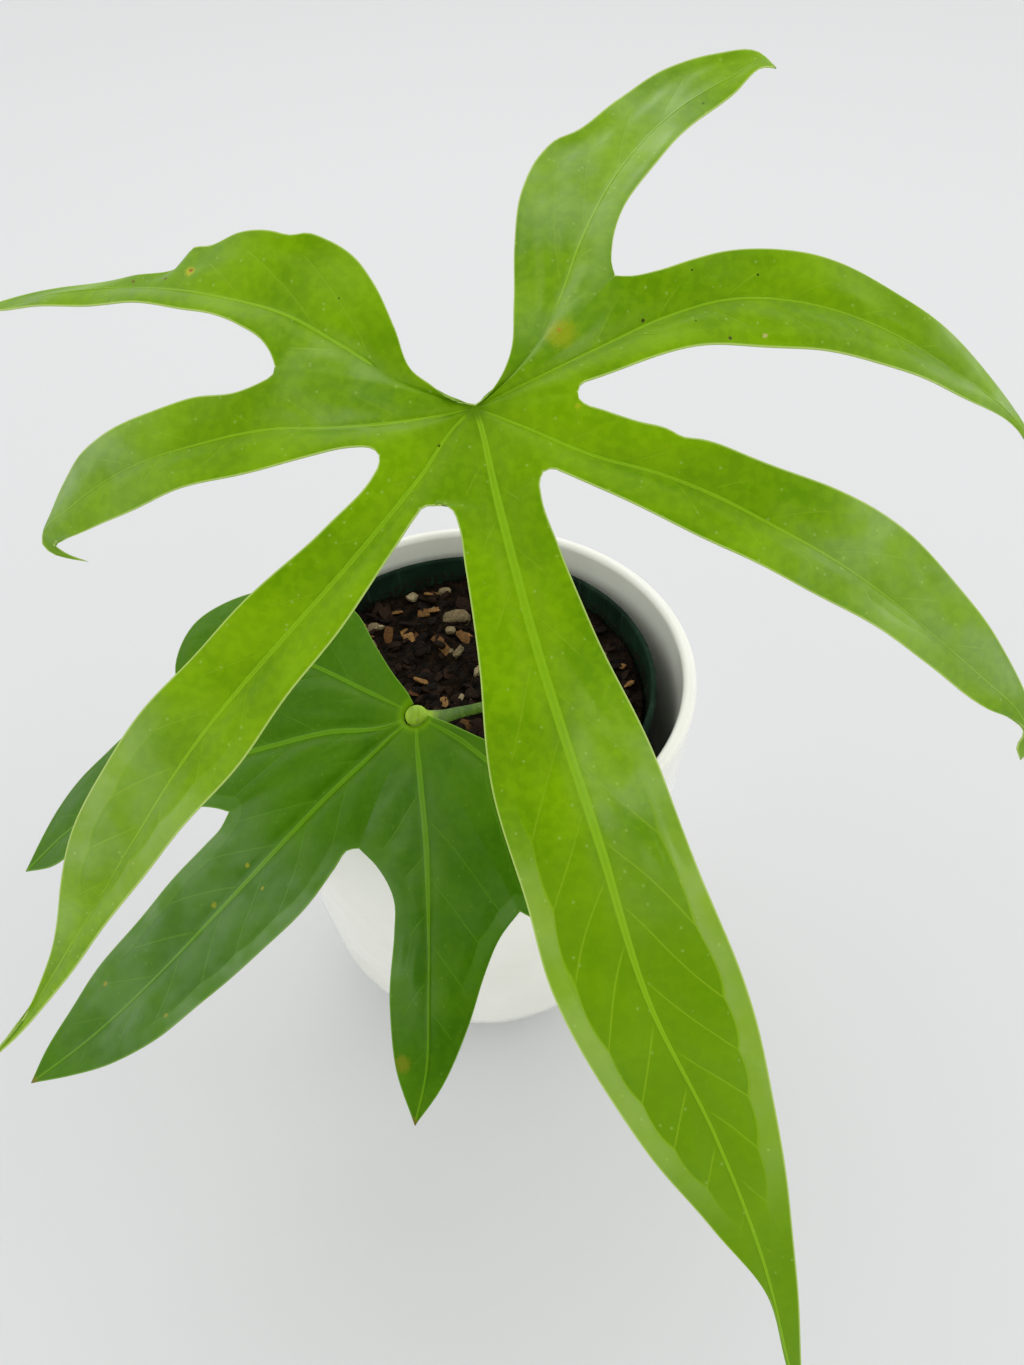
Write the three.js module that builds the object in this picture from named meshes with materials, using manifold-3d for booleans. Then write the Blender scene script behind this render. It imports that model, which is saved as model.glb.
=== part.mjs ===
// Potted Anthurium pedatoradiatum: a young plant with two lobed leaves, in a nursery pot inside a
// glazed cachepot.
// Millimetres, +Z up. The origin is the centre of the cachepot's underside, which rests on the surface.

import * as THREE from 'three';
import { mergeVertices } from 'three/addons/utils/BufferGeometryUtils.js';
import Module from 'manifold-3d';

const wasm = await Module();
wasm.setup();

// Clear space kept between pieces that touch on the real plant
const gap = 0.3;

// Glazed cachepot
const potHeight = 130;
const potRimRadius = 65;
const potWallFootRadius = 56;
const potInnerFootRadius = 51.5;
const potCornerRadius = 27;
const potWall = 4;
const potFloorTop = 9;
const potInnerCornerRadius = 12;
const potSides = 48;

// Thin plastic nursery pot, set a little off centre in the cachepot
const nurseryOffset = { x: -1, y: 2.5 };
const nurseryRimRadius = 55.5;
const nurseryRimTop = 123;
const nurseryRimBand = 9;
const nurseryRimStep = 2;
const nurseryFootRadius = 38;
const nurseryWall = 1;
const nurseryFloor = 1.6;
const nurseryFootBevel = 1.5;
const nurseryRimWall = 1.9;
const nurserySides = 48;
const drainHoles = { count: 6, radius: 4, ring: 21 };

// Potting mix with bark chips standing out of its top
const mixTop = 115;
const mixEdgeDepth = 3;
const mixChips = { count: 110, seed: 11, shortest: 2, longest: 5.5, tallest: 2.4, clearOfStem: 13 };
const mixClearance = 0.5;
const mixRings = 16;
const mixSides = 48;

// Short stem at the middle of the plant
const stemFoot = { x: 16, y: 11 };
const stemRadius = 4.4;
const stemBottom = 92;
const stemTop = 124;
const stemScars = { heights: [113.5, 118, 122.4], rise: 0.5, halfWidth: 0.9 };
const stemSides = 16;

// Leaf blades
const rowStep = 6;
const columnsEachSide = 3;
const bladeThickness = 0.7;
const foldExponent = 0.6; // below 1 the fold is highest in the lobe's first half
const seamFoldShare = 0.7; // height of the fold at a sinus, as a share of the lobes' own
const waveLength = 26;
const stepFade = 8; // distance in which a margin comes back from the sinus's lift to its lobe's own

// The upper leaf. Its frame starts at the top of its petiole: "tilt" is how far the blade dips to the
// front, "heading" turns the dip to the right, and points are [across, along, up] from there.
// "first" and "second" are a lobe's two margins from sinus to tip, going round the leaf from the back right.
// "collar" is the radius of an opening that the petiole's end fills, the margins at the back of the leaf
// begin at "backStarts", and "seamBends" draws the seam to a sinus towards a point.
const upperLeaf = {
  origin: [8, -49.5, 243.7],
  tilt: 36,
  heading: -5,
  foldHeight: 2.4,
  waveHeight: 0.7,
  collar: 0,
  backStarts: [[0, -0.7], [0, -0.7]],
  sinuses: [[23.8, -23], [17.8, -1.9], [12.2, 12.3], [-6.2, 18.4], [-16, 9.6], [-35.2, -6.6]],
  seamBends: { 0: [9.5, -6.3] },
  lobes: [
    {
      rib: [[4.5, -3.8, 0.5], [9, -9, 1], [13.5, -17.5, 1], [18, -31, 1], [24, -44, 0], [34, -57, -2],
        [44, -65, -4], [51, -69, -5]],
      tip: [53.4, -69, -6.5],
      roll: [-4, 0],
      first: [[2, -1.9], [3.3, -3.5], [4.7, -5.9], [5.8, -9], [6.2, -19], [6, -30], [7, -41], [10, -49],
        [12.6, -52], [16.5, -53.7], [24, -60.2], [32.4, -67.5], [42.7, -70.9], [50, -71]],
      second: [[23.2, -25], [23.2, -28], [25, -36], [31.3, -45.7], [38, -55], [45.2, -61.7], [51, -67.9]],
    },
    {
      rib: [[10, -4.7, 1], [22, -11, 1], [32, -16, 1], [45, -20, 0], [58, -20, -2], [70, -17, -4],
        [84, -11, -8], [98, -2, -13], [103.5, 5, -17.5], [105, 11, -22]],
      tip: [105, 16, -26],
      roll: [0, 0],
      first: [[26, -22.8], [31, -23.8], [37, -26.2], [42, -28], [54, -28.8], [66, -27], [76.7, -21.6],
        [88.7, -13.6], [99.3, -2.5], [105, 5], [107, 12]],
      second: [[18.2, -3.2], [19.8, -3.9], [21.5, -4.5], [30, -7.6], [41, -10.5], [54, -10.6], [68, -10.3],
        [83.6, -6.3], [96.8, -1.8], [101.3, 3], [101.9, 9], [102.3, 12]],
    },
    {
      rib: [[9, 4, 1], [21, 9, 1], [32, 12, 1], [42, 16, 1], [52, 21, 0], [64, 27, -3], [76, 35, -6],
        [88, 44, -10], [97, 50.5, -15], [99.8, 54, -18.5]],
      tip: [99.4, 57.6, -22],
      roll: [0, 0],
      first: [[18, -0.6], [19, 0.3], [21.8, 1.3], [28, 3.4], [33, 4.8], [35.5, 6.3], [38.5, 6.8],
        [46.8, 9.5], [61, 14.2], [75, 20.8], [84.4, 30.5], [91, 37.4], [97.7, 47], [101, 53], [100.6, 56]],
      second: [[13.5, 11.7], [15.5, 12.4], [17.9, 13.5], [32, 20.2], [47, 27.2], [63.5, 34.1], [78.8, 42.7],
        [90.3, 49.6], [95.1, 50.8], [98.5, 53], [98, 55.4]],
    },
    {
      rib: [[1, 3, 0], [4, 15, 1], [12, 43, 1], [23, 75, -1], [31, 99, -4], [43, 122, -10], [52, 144, -16],
        [57, 162, -22]],
      tip: [61, 176, -28],
      roll: [0, 0],
      first: [[11.7, 13.6], [12, 16.5], [15, 25], [21, 39], [31.8, 60.5], [38.8, 78.1], [46, 94], [51, 110],
        [54.6, 127], [57.3, 144], [59.3, 162]],
      second: [[-4.6, 18.2], [-3, 19.2], [-2, 21.5], [-0.5, 28.9], [2.4, 45.9], [5, 66], [11, 84],
        [14.8, 96.7], [20.5, 108], [31.5, 124.4], [43, 137.8], [52.6, 149.2], [56.6, 162]],
    },
    {
      rib: [[-3, 3, 0], [-9, 13, 1], [-21, 29, 1], [-33, 43, 0], [-46, 59, -2], [-59, 78, -7],
        [-70, 94, -13], [-80, 108, -18]],
      tip: [-90, 119, -22],
      roll: [0, 0],
      first: [[-7.8, 18.6], [-9.2, 20.5], [-11.9, 25.1], [-19.4, 37.4], [-28, 49], [-38.3, 63.2],
        [-52.5, 78.7], [-63.8, 91.9], [-73, 102.7], [-82.2, 112.6]],
      second: [[-15.9, 11.2], [-16.7, 13.2], [-24.5, 22.5], [-33.3, 30.8], [-44.5, 42.3], [-56, 55],
        [-66.2, 69], [-71.9, 83.9], [-75.2, 98], [-82.5, 111.2]],
    },
    {
      rib: [[-4, 1, 0], [-13, 3, 1], [-24, 4, 1], [-36, 4, 0], [-49, 6, -2], [-63, 9.5, -5],
        [-75, 15.5, -9], [-82.5, 20.6, -14], [-81, 22.5, -16]],
      tip: [-76, 23.6, -19],
      roll: [0, 0],
      first: [[-16.8, 8.6], [-18.5, 8.2], [-20.5, 8.3], [-29, 10.2], [-42, 12.6], [-56, 15.3], [-68, 18.9],
        [-74.5, 20.6], [-79, 21], [-81.2, 21.3], [-80.2, 22.1]],
      second: [[-35.6, -5], [-37, -4.2], [-41.8, -2.4], [-51.1, -2.2], [-60, 0.3], [-69, 3.9], [-73.5, 6.5],
        [-77.8, 11.5], [-81, 17], [-82.9, 19.6], [-83.4, 21.2], [-82.2, 22.7], [-79.5, 23.4]],
    },
    {
      rib: [[-6, -1.8, 0.6], [-14, -5, 1], [-24, -11, 1], [-35, -17, 1], [-48, -21, 0], [-61, -24, -3],
        [-80, -26, -8], [-96, -26, -14]],
      tip: [-104, -27, -17],
      roll: [0, -2],
      first: [[-35.8, -8.4], [-37.5, -11], [-42, -14], [-48, -16.8], [-54.3, -18.4], [-62, -20.2],
        [-69.8, -21.4], [-86, -23.7], [-97, -25.5]],
      second: [[-3.6, -0.9], [-8, -3.8], [-10.8, -5.8], [-14.4, -13.8], [-18.3, -21.8], [-23.4, -28.4],
        [-27.5, -31], [-31, -32.2], [-34, -31.7], [-38, -32.6], [-44, -33], [-49.7, -31.8], [-53.8, -31.8],
        [-55, -29.5], [-66, -27.6], [-82, -28.2], [-96, -27.6]],
    },
  ],
};

// The lower, older leaf has five lobes
const lowerLeaf = {
  origin: [-10.2, -48.3, 163.5],
  tilt: 20,
  heading: -44,
  foldHeight: 2,
  waveHeight: 0.6,
  collar: 3,
  backStarts: [[2.6, -1.5], [-2.4, -1.8]],
  sinuses: [[50, 21], [12.2, 31.5], [-20.6, 43.6], [-40, 23]],
  seamBends: {},
  lobes: [
    {
      rib: [[13, -1, 0], [28, 0, 1], [44, 1, 1], [58, 3, -1]],
      tip: [75, 9, -9],
      roll: [0, 0],
      first: [[8, -2.4], [19, -4], [34, -8], [49, -8], [61, -4], [70, 3]],
      second: [[55, 20], [63, 17], [70, 13]],
    },
    {
      rib: [[4, 4, 0], [13, 12, 1], [25, 23, 1], [36, 35, 0], [46, 47, -2], [53, 57, -5]],
      tip: [56.6, 66, -8],
      roll: [0, 0],
      first: [[49.8, 27.1], [51.5, 35.1], [54.6, 45.3], [57.1, 58]],
      second: [[19, 32.2], [26.7, 35.5], [31.1, 40.3], [39, 51.9], [47, 60]],
    },
    {
      rib: [[-1, 6, 0], [-2, 17, 1], [-4, 37, 1], [-6, 59, 0], [-9, 82, -2], [-14, 101, -5]],
      tip: [-20, 116, -8],
      roll: [0, 0],
      first: [[10.5, 33], [10.8, 38], [11.2, 48], [9, 63], [4.8, 77], [1.6, 89], [-4.3, 98.9],
        [-12.6, 108.7]],
      second: [[-19.5, 47.5], [-19.8, 52], [-20.9, 65], [-22.3, 79.3], [-22.5, 94], [-22, 107.5]],
    },
    {
      rib: [[-3, 5, 0], [-15, 16, 1], [-28, 30, 1], [-41, 44, 0], [-52, 59, -2], [-59, 74, -5]],
      tip: [-63, 87, -8],
      roll: [0, 0],
      first: [[-24, 44.8], [-30, 48], [-42, 57], [-50, 69], [-55.1, 80.3]],
      second: [[-50, 33], [-61.5, 42.5], [-64, 55], [-66.1, 71.2]],
    },
    {
      rib: [[-14, 2, 0], [-37, 6, 1], [-54, 12, 0], [-63, 21, -2]],
      tip: [-61, 31, -6],
      roll: [0, 0],
      first: [[-46, 26], [-54, 29]],
      second: [[-4.5, -2.8], [-10.6, -4.5], [-20.4, -7.9], [-31.7, -12.1], [-44, -11], [-56, -6],
        [-66.3, 5], [-70.3, 15], [-68.3, 25]],
    },
  ],
};

// Petioles, as [x, y, z, radius] from the stem to the swollen joint at the blade. The upper one ends under
// its blade, and the lower one ends as a round knob in the opening of its blade.
const upperPetiole = {
  route: [[16, 11, 124.4, 3.3], [15.9, 10.6, 128, 2.9], [15.2, 5.5, 137, 2.3], [14, -5, 155, 1.9],
    [12.2, -20, 184, 1.8], [10.4, -34, 213, 1.8], [9.4, -41.8, 228, 2.1], [9, -45.6, 235, 2.5],
    [8.4, -49.3, 241.7, 2.6]],
  sides: 10,
};
const lowerPetiole = {
  route: [[14, 6.5, 120, 2.2], [13.1, 4.4, 120.2, 2], [12, -3, 123, 1.7], [9.3, -14, 130, 1.45],
    [3.7, -26.5, 141, 1.4], [-1.5, -37.5, 151.5, 1.5], [-5.4, -43.8, 157.2, 1.8], [-8.6, -46.9, 160.3, 2.3],
    [-10, -48.2, 162.8, 2.6], [-10.7, -48.8, 165.3, 2.6]],
  sides: 10,
};

const finishes = {
  glaze: { color: '#e6e8df', roughness: 0.22, metalness: 0 },
  plastic: { color: '#26392a', roughness: 0.5, metalness: 0 },
  mix: { color: '#2a1a12', roughness: 0.95, metalness: 0 },
  stem: { color: '#7d8a3c', roughness: 0.7, metalness: 0 },
  youngBlade: { color: '#6b9b0c', roughness: 0.42, metalness: 0 },
  oldBlade: { color: '#3c730f', roughness: 0.4, metalness: 0 },
  petiole: { color: '#7ea832', roughness: 0.5, metalness: 0 },
};

function named(name, geometry, finish) {
  const mesh = new THREE.Mesh(geometry, new THREE.MeshStandardMaterial(finish));
  mesh.name = name;
  return mesh;
}

// A repeatable draw between 0 and 1 from a seed
function seededDraw(seed) {
  let state = seed;
  return () => {
    state = (state * 1664525 + 1013904223) % 4294967296;
    return state / 4294967296;
  };
}

function toSolid(geometry) {
  const bare = geometry.clone();
  bare.deleteAttribute('normal');
  bare.deleteAttribute('uv');
  const merged = mergeVertices(bare, 1e-4);
  return new wasm.Manifold(new wasm.Mesh({
    numProp: 3,
    vertProperties: new Float32Array(merged.attributes.position.array),
    triVerts: new Uint32Array(merged.index.array),
  }));
}

function toGeometry(solid) {
  const { vertProperties, triVerts } = solid.getMesh();
  const geometry = new THREE.BufferGeometry();
  geometry.setAttribute('position', new THREE.BufferAttribute(new Float32Array(vertProperties), 3));
  geometry.setIndex(new THREE.BufferAttribute(new Uint32Array(triVerts), 1));
  geometry.computeVertexNormals();
  return geometry;
}

// Points on a quarter circle, from one angle to another in degrees, as [radius, height]
function arc(centreRadius, centreHeight, radius, from, to, steps) {
  return Array.from({ length: steps + 1 }, (_, i) => {
    const angle = THREE.MathUtils.degToRad(from + (to - from) * i / steps);
    return [centreRadius + radius * Math.cos(angle), centreHeight + radius * Math.sin(angle)];
  });
}

// A profile of [radius, height] points turned about the vertical axis
function turned(profile, sides) {
  const points = profile.map(([radius, height]) => new THREE.Vector2(Math.max(radius, 0), height));
  return new THREE.LatheGeometry(points, sides).rotateX(Math.PI / 2);
}

function cachepotGeometry() {
  const lip = potWall / 2;
  const lipCentre = potRimRadius - lip;
  const corner = potCornerRadius;
  const inner = potInnerCornerRadius;
  const profile = [
    [0, 0],
    ...arc(potWallFootRadius - corner, corner, corner, -90, 0, 7),
    ...arc(lipCentre, potHeight - lip, lip, 0, 180, 6),
    ...arc(potInnerFootRadius - inner, potFloorTop + inner, inner, 0, -90, 4),
    [0, potFloorTop],
  ];
  return turned(profile, potSides);
}

function nurseryPotGeometry() {
  const bottom = potFloorTop + gap;
  const bandBottom = nurseryRimTop - nurseryRimBand;
  const wallTop = nurseryRimRadius - nurseryRimStep;
  const profile = [
    [0, bottom],
    [nurseryFootRadius - nurseryFootBevel, bottom],
    [nurseryFootRadius, bottom + nurseryFootBevel],
    [wallTop, bandBottom],
    [nurseryRimRadius - 0.4, bandBottom],
    [nurseryRimRadius, nurseryRimTop - 1],
    [nurseryRimRadius - 1, nurseryRimTop],
    [nurseryRimRadius - nurseryRimWall, nurseryRimTop - 0.6],
    [nurseryRimRadius - nurseryRimWall, bandBottom + 1],
    [wallTop - nurseryWall, bandBottom - 1],
    [nurseryFootRadius - nurseryWall, bottom + nurseryFloor + 0.6],
    [nurseryFootRadius - nurseryWall - 1, bottom + nurseryFloor],
    [0, bottom + nurseryFloor],
  ];
  let solid = toSolid(turned(profile, nurserySides));
  for (let i = 0; i < drainHoles.count; i += 1) {
    const angle = 2 * Math.PI * i / drainHoles.count;
    const x = drainHoles.ring * Math.cos(angle);
    const y = drainHoles.ring * Math.sin(angle);
    const hole = new THREE.CylinderGeometry(drainHoles.radius, drainHoles.radius, 3 * nurseryFloor, 12);
    hole.rotateX(Math.PI / 2);
    hole.translate(x, y, bottom + nurseryFloor / 2);
    solid = solid.subtract(toSolid(hole));
  }
  return toGeometry(solid).translate(nurseryOffset.x, nurseryOffset.y, 0);
}

// Inside radius of the nursery pot at a height, less the clear space around the mix
function mixRadius(height) {
  const bottom = potFloorTop + gap;
  const bandBottom = nurseryRimTop - nurseryRimBand;
  const footRadius = nurseryFootRadius - nurseryWall;
  const topRadius = nurseryRimRadius - nurseryRimStep - nurseryWall;
  const share = (height - bottom - nurseryFloor) / (bandBottom - 1 - bottom - nurseryFloor);
  return footRadius + (topRadius - footRadius) * Math.min(share, 1) - mixClearance;
}

// Height of the chips above the mix at a point: each chip is a low rounded block lying at its own angle
function chipHeight(x, y, chips) {
  let height = 0;
  for (const chip of chips) {
    const dx = x - chip.x;
    const dy = y - chip.y;
    const along = (dx * chip.cos + dy * chip.sin) / chip.length;
    const across = (dy * chip.cos - dx * chip.sin) / chip.width;
    const reach = along ** 4 + across ** 4;
    if (reach < 1) {
      height = Math.max(height, chip.height * (1 - reach) ** 0.4);
    }
  }
  return height;
}

function scatterChips() {
  const draw = seededDraw(mixChips.seed);
  const chips = Array.from({ length: mixChips.count }, () => {
    const angle = 2 * Math.PI * draw();
    const distance = (mixRadius(mixTop) - 4) * Math.sqrt(draw());
    const turn = Math.PI * draw();
    const length = mixChips.shortest + (mixChips.longest - mixChips.shortest) * draw() ** 1.5;
    return {
      x: distance * Math.cos(angle),
      y: distance * Math.sin(angle),
      cos: Math.cos(turn),
      sin: Math.sin(turn),
      length,
      width: length * (0.45 + 0.4 * draw()),
      height: mixChips.tallest * (0.35 + 0.65 * draw()),
    };
  });
  const stemX = stemFoot.x - nurseryOffset.x;
  const stemY = stemFoot.y - nurseryOffset.y;
  return chips.filter(({ x, y }) => Math.hypot(x - stemX, y - stemY) > mixChips.clearOfStem);
}

// A tube of rings, closed at both ends by a point in the middle of its first and last ring
function closedRings(rings, firstCentre, lastCentre) {
  const sides = rings[0].length;
  const positions = [...rings.flat(), firstCentre, lastCentre];
  const first = rings.length * sides;
  const last = first + 1;
  const index = [];
  for (let side = 0; side < sides; side += 1) {
    const next = (side + 1) % sides;
    for (let ring = 0; ring + 1 < rings.length; ring += 1) {
      const a = ring * sides + side;
      const b = ring * sides + next;
      const c = a + sides;
      const d = b + sides;
      index.push(a, b, d, a, d, c);
    }
    const end = (rings.length - 1) * sides;
    index.push(first, next, side, last, end + side, end + next);
  }
  const geometry = new THREE.BufferGeometry();
  geometry.setAttribute('position', new THREE.Float32BufferAttribute(positions.flat(), 3));
  geometry.setIndex(index);
  geometry.computeVertexNormals();
  return geometry;
}

function ringAt(radius, height, sides) {
  return Array.from({ length: sides }, (_, i) => {
    const angle = 2 * Math.PI * i / sides;
    return [radius * Math.cos(angle), radius * Math.sin(angle), height];
  });
}

function pottingMixGeometry() {
  const chips = scatterChips();
  const bottom = potFloorTop + 2 * gap + nurseryFloor;
  const topRadius = mixRadius(mixTop);
  const rings = [
    ringAt(mixRadius(bottom) - 1, bottom, mixSides),
    ringAt(topRadius, mixTop - mixEdgeDepth, mixSides),
  ];
  for (let ring = mixRings; ring >= 1; ring -= 1) {
    const radius = topRadius * ring / mixRings;
    rings.push(ringAt(radius, mixTop, mixSides).map(([x, y, z]) => [x, y, z + chipHeight(x, y, chips)]));
  }
  const centre = [0, 0, mixTop + chipHeight(0, 0, chips)];
  const body = closedRings(rings, [0, 0, bottom], centre).translate(nurseryOffset.x, nurseryOffset.y, 0);
  const holeHeight = 2 * (mixTop - stemBottom);
  const hole = new THREE.CylinderGeometry(stemRadius + gap, stemRadius + gap, holeHeight, stemSides);
  hole.rotateX(Math.PI / 2);
  hole.translate(stemFoot.x, stemFoot.y, stemBottom - gap + holeHeight / 2);
  return toGeometry(toSolid(body).subtract(toSolid(hole)));
}

function stemGeometry() {
  const waist = stemRadius - stemScars.rise;
  const scars = stemScars.heights.flatMap((height) => [
    [waist, height - stemScars.halfWidth],
    [stemRadius, height],
    [waist, height + stemScars.halfWidth],
  ]);
  const profile = [
    [0, stemBottom],
    [waist - 1.2, stemBottom + 0.8],
    [waist, stemBottom + 4],
    ...scars,
    [0, stemTop],
  ];
  return turned(profile, stemSides).translate(stemFoot.x, stemFoot.y, 0);
}

// A tapered round stalk along a smooth curve through [x, y, z, radius] points
function petioleGeometry({ route, sides }) {
  const steps = 3 * (route.length - 1);
  const curve = new THREE.CatmullRomCurve3(route.map(([x, y, z]) => new THREE.Vector3(x, y, z)));
  const radii = new THREE.SplineCurve(route.map((point, i) => new THREE.Vector2(i, point[3])));
  const frames = curve.computeFrenetFrames(steps);
  const rings = [];
  for (let step = 0; step <= steps; step += 1) {
    const share = step / steps;
    const centre = curve.getPoint(share);
    const radius = radii.getPoint(share).y;
    rings.push(Array.from({ length: sides }, (_, i) => {
      const angle = 2 * Math.PI * i / sides;
      return centre.clone()
        .addScaledVector(frames.normals[step], radius * Math.cos(angle))
        .addScaledVector(frames.binormals[step], radius * Math.sin(angle))
        .toArray();
    }));
  }
  return closedRings(rings, curve.getPoint(0).toArray(), curve.getPoint(1).toArray());
}

// A smooth curve through points: cubic pieces whose slopes weigh each point's two chords by their length.
// It returns the curve cut into equal steps along its length.
function smoothCurve(points, count) {
  const fine = 400;
  const size = points[0].length;
  const chord = points.slice(1).map((p, i) => Math.hypot(...p.map((v, k) => v - points[i][k])));
  const slope = chord.map((length, i) => points[i].map((v, k) => (points[i + 1][k] - v) / length));
  const tangent = points.map((_, i) => {
    if (i === 0 || i === points.length - 1) {
      return slope[Math.min(i, slope.length - 1)];
    }
    const total = chord[i - 1] + chord[i];
    return slope[i].map((v, k) => (slope[i - 1][k] * chord[i] + v * chord[i - 1]) / total);
  });
  const whole = chord.reduce((sum, length) => sum + length, 0);
  const dense = [];
  let piece = 0;
  let start = 0;
  for (let step = 0; step <= fine; step += 1) {
    const at = whole * step / fine;
    while (piece < chord.length - 1 && at > start + chord[piece]) {
      start += chord[piece];
      piece += 1;
    }
    const u = (at - start) / chord[piece];
    const h = chord[piece];
    dense.push(Array.from({ length: size }, (_, k) => (2 * u ** 3 - 3 * u ** 2 + 1) * points[piece][k]
      + (u ** 3 - 2 * u ** 2 + u) * h * tangent[piece][k]
      + (3 * u ** 2 - 2 * u ** 3) * points[piece + 1][k]
      + (u ** 3 - u ** 2) * h * tangent[piece + 1][k]));
  }
  const travelled = [0];
  for (let step = 1; step <= fine; step += 1) {
    travelled.push(travelled[step - 1] + Math.hypot(...dense[step].map((v, k) => v - dense[step - 1][k])));
  }
  const length = travelled[fine];
  const result = [];
  let near = 0;
  for (let step = 0; step < count; step += 1) {
    const at = length * step / (count - 1);
    while (near < fine - 1 && travelled[near + 1] < at) {
      near += 1;
    }
    const share = (at - travelled[near]) / (travelled[near + 1] - travelled[near]);
    result.push(dense[near].map((v, k) => v + share * (dense[near + 1][k] - v)));
  }
  return { points: result, length };
}

// The point of the collar that lies towards another point
function onCollar(leaf, [x, y]) {
  const share = leaf.collar / Math.hypot(x, y);
  return [x * share, y * share];
}

// Rows along every lobe's rib, and the row at which each sinus between two lobes ends the shared web
function leafRows(leaf) {
  const webRows = leaf.sinuses.map(([x, y]) => Math.max(2, Math.round(Math.hypot(x, y) / rowStep)));
  const ribs = leaf.lobes.map((lobe) => {
    const through = [[...onCollar(leaf, lobe.rib[0]), 0], ...lobe.rib, lobe.tip];
    const rows = Math.round(smoothCurve(through, 2).length / rowStep);
    return smoothCurve(through, rows + 1).points;
  });
  return { webRows, ribs };
}

// One margin of a lobe: along the seam that it shares as far as the sinus, then free to the tip. Its lift
// is the rib's plus a fold that swells and sinks along the lobe, a wave, and a roll at its middle.
function leafMargin(leaf, rows, lobeNumber, side) {
  const lobe = leaf.lobes[lobeNumber];
  const rib = rows.ribs[lobeNumber];
  const last = rib.length - 1;
  const sinusNumber = lobeNumber - 1 + side;
  const hasWeb = sinusNumber >= 0 && sinusNumber < leaf.sinuses.length;
  const web = hasWeb ? rows.webRows[sinusNumber] : 0;
  const sinus = hasWeb ? leaf.sinuses[sinusNumber] : leaf.backStarts[side];
  const other = hasWeb ? rows.ribs[lobeNumber - 1 + 2 * side] : rib;
  const start = onCollar(leaf, sinus);
  const bend = leaf.seamBends[sinusNumber] ?? start.map((from, k) => (from + sinus[k]) / 2);
  const webShare = (row) => (hasWeb ? row / web : 1);
  const seam = (row) => {
    const share = webShare(row);
    return start.map((from, k) => (1 - share) ** 2 * from + 2 * share * (1 - share) * bend[k]
      + share ** 2 * sinus[k]);
  };
  const through = [sinus, ...(side === 0 ? lobe.first : lobe.second), lobe.tip.slice(0, 2)];
  const free = smoothCurve(through, last - web + 1).points;
  const fold = (row) => leaf.foldHeight * Math.sin(Math.PI * (row / last) ** foldExponent);
  const seamRise = hasWeb ? seamFoldShare * leaf.foldHeight : 0;
  const seamFold = (row) => seamRise * Math.sin(0.5 * Math.PI * webShare(row));
  const seamLift = (row) => (rib[row][2] + other[row][2]) / 2 + seamFold(row);
  const step = seamLift(web) - rib[web][2] - fold(web);
  const phase = lobeNumber + 2 * side;
  return rib.map((point, row) => {
    if (row <= web) {
      return [...seam(row), seamLift(row)];
    }
    const past = (row - web) * rowStep;
    const calm = Math.sin(Math.PI * (row - web) / (last - web));
    const wave = leaf.waveHeight * Math.sin(2 * Math.PI * past / waveLength + phase);
    const stepped = step * Math.exp(-past / stepFade);
    const lift = point[2] + fold(row) + stepped + (wave + lobe.roll[side]) * calm;
    return [...free[row - web], lift];
  });
}

// The leaf's upper face, in its own frame, as triangles over rows of each half lobe from rib to margin.
// Seen from above each triangle turns anticlockwise.
function leafSheet(leaf) {
  const rows = leafRows(leaf);
  const triangles = [];
  leaf.lobes.forEach((lobe, lobeNumber) => {
    const rib = rows.ribs[lobeNumber];
    for (const side of [0, 1]) {
      const margin = leafMargin(leaf, rows, lobeNumber, side);
      const grid = rib.map((inner, row) => Array.from({ length: columnsEachSide + 1 }, (_, column) => {
        const share = column / columnsEachSide;
        const rise = Math.sin(0.5 * Math.PI * share);
        return [
          inner[0] + (margin[row][0] - inner[0]) * share,
          inner[1] + (margin[row][1] - inner[1]) * share,
          inner[2] + (margin[row][2] - inner[2]) * rise,
        ];
      }));
      for (let row = 0; row + 1 < grid.length; row += 1) {
        for (let column = 0; column < columnsEachSide; column += 1) {
          const a = grid[row][column];
          const b = grid[row][column + 1];
          const c = grid[row + 1][column];
          const d = grid[row + 1][column + 1];
          const pair = [[a, b, d], [a, d, c]];
          triangles.push(...(side === 0 ? pair.map(([p, q, r]) => [p, r, q]) : pair));
        }
      }
    }
  });
  return triangles;
}

// A thin closed body from a sheet: the sheet, the same triangles set back along its normals, and a wall
// between the two along every open edge
function thickened(sheet, depth) {
  const count = sheet.attributes.position.count;
  const position = sheet.attributes.position;
  const normal = sheet.attributes.normal;
  const positions = [...position.array];
  for (let i = 0; i < count; i += 1) {
    positions.push(position.getX(i) - depth * normal.getX(i));
    positions.push(position.getY(i) - depth * normal.getY(i));
    positions.push(position.getZ(i) - depth * normal.getZ(i));
  }
  const top = [...sheet.index.array];
  const index = [...top];
  const open = new Map();
  for (let i = 0; i < top.length; i += 3) {
    const [a, b, c] = top.slice(i, i + 3);
    index.push(count + a, count + c, count + b);
    for (const [from, to] of [[a, b], [b, c], [c, a]]) {
      if (!open.delete(`${to} ${from}`)) {
        open.set(`${from} ${to}`, [from, to]);
      }
    }
  }
  for (const [from, to] of open.values()) {
    index.push(from, count + from, count + to, from, count + to, to);
  }
  const geometry = new THREE.BufferGeometry();
  geometry.setAttribute('position', new THREE.Float32BufferAttribute(positions, 3));
  geometry.setIndex(index);
  geometry.computeVertexNormals();
  return geometry;
}

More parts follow.
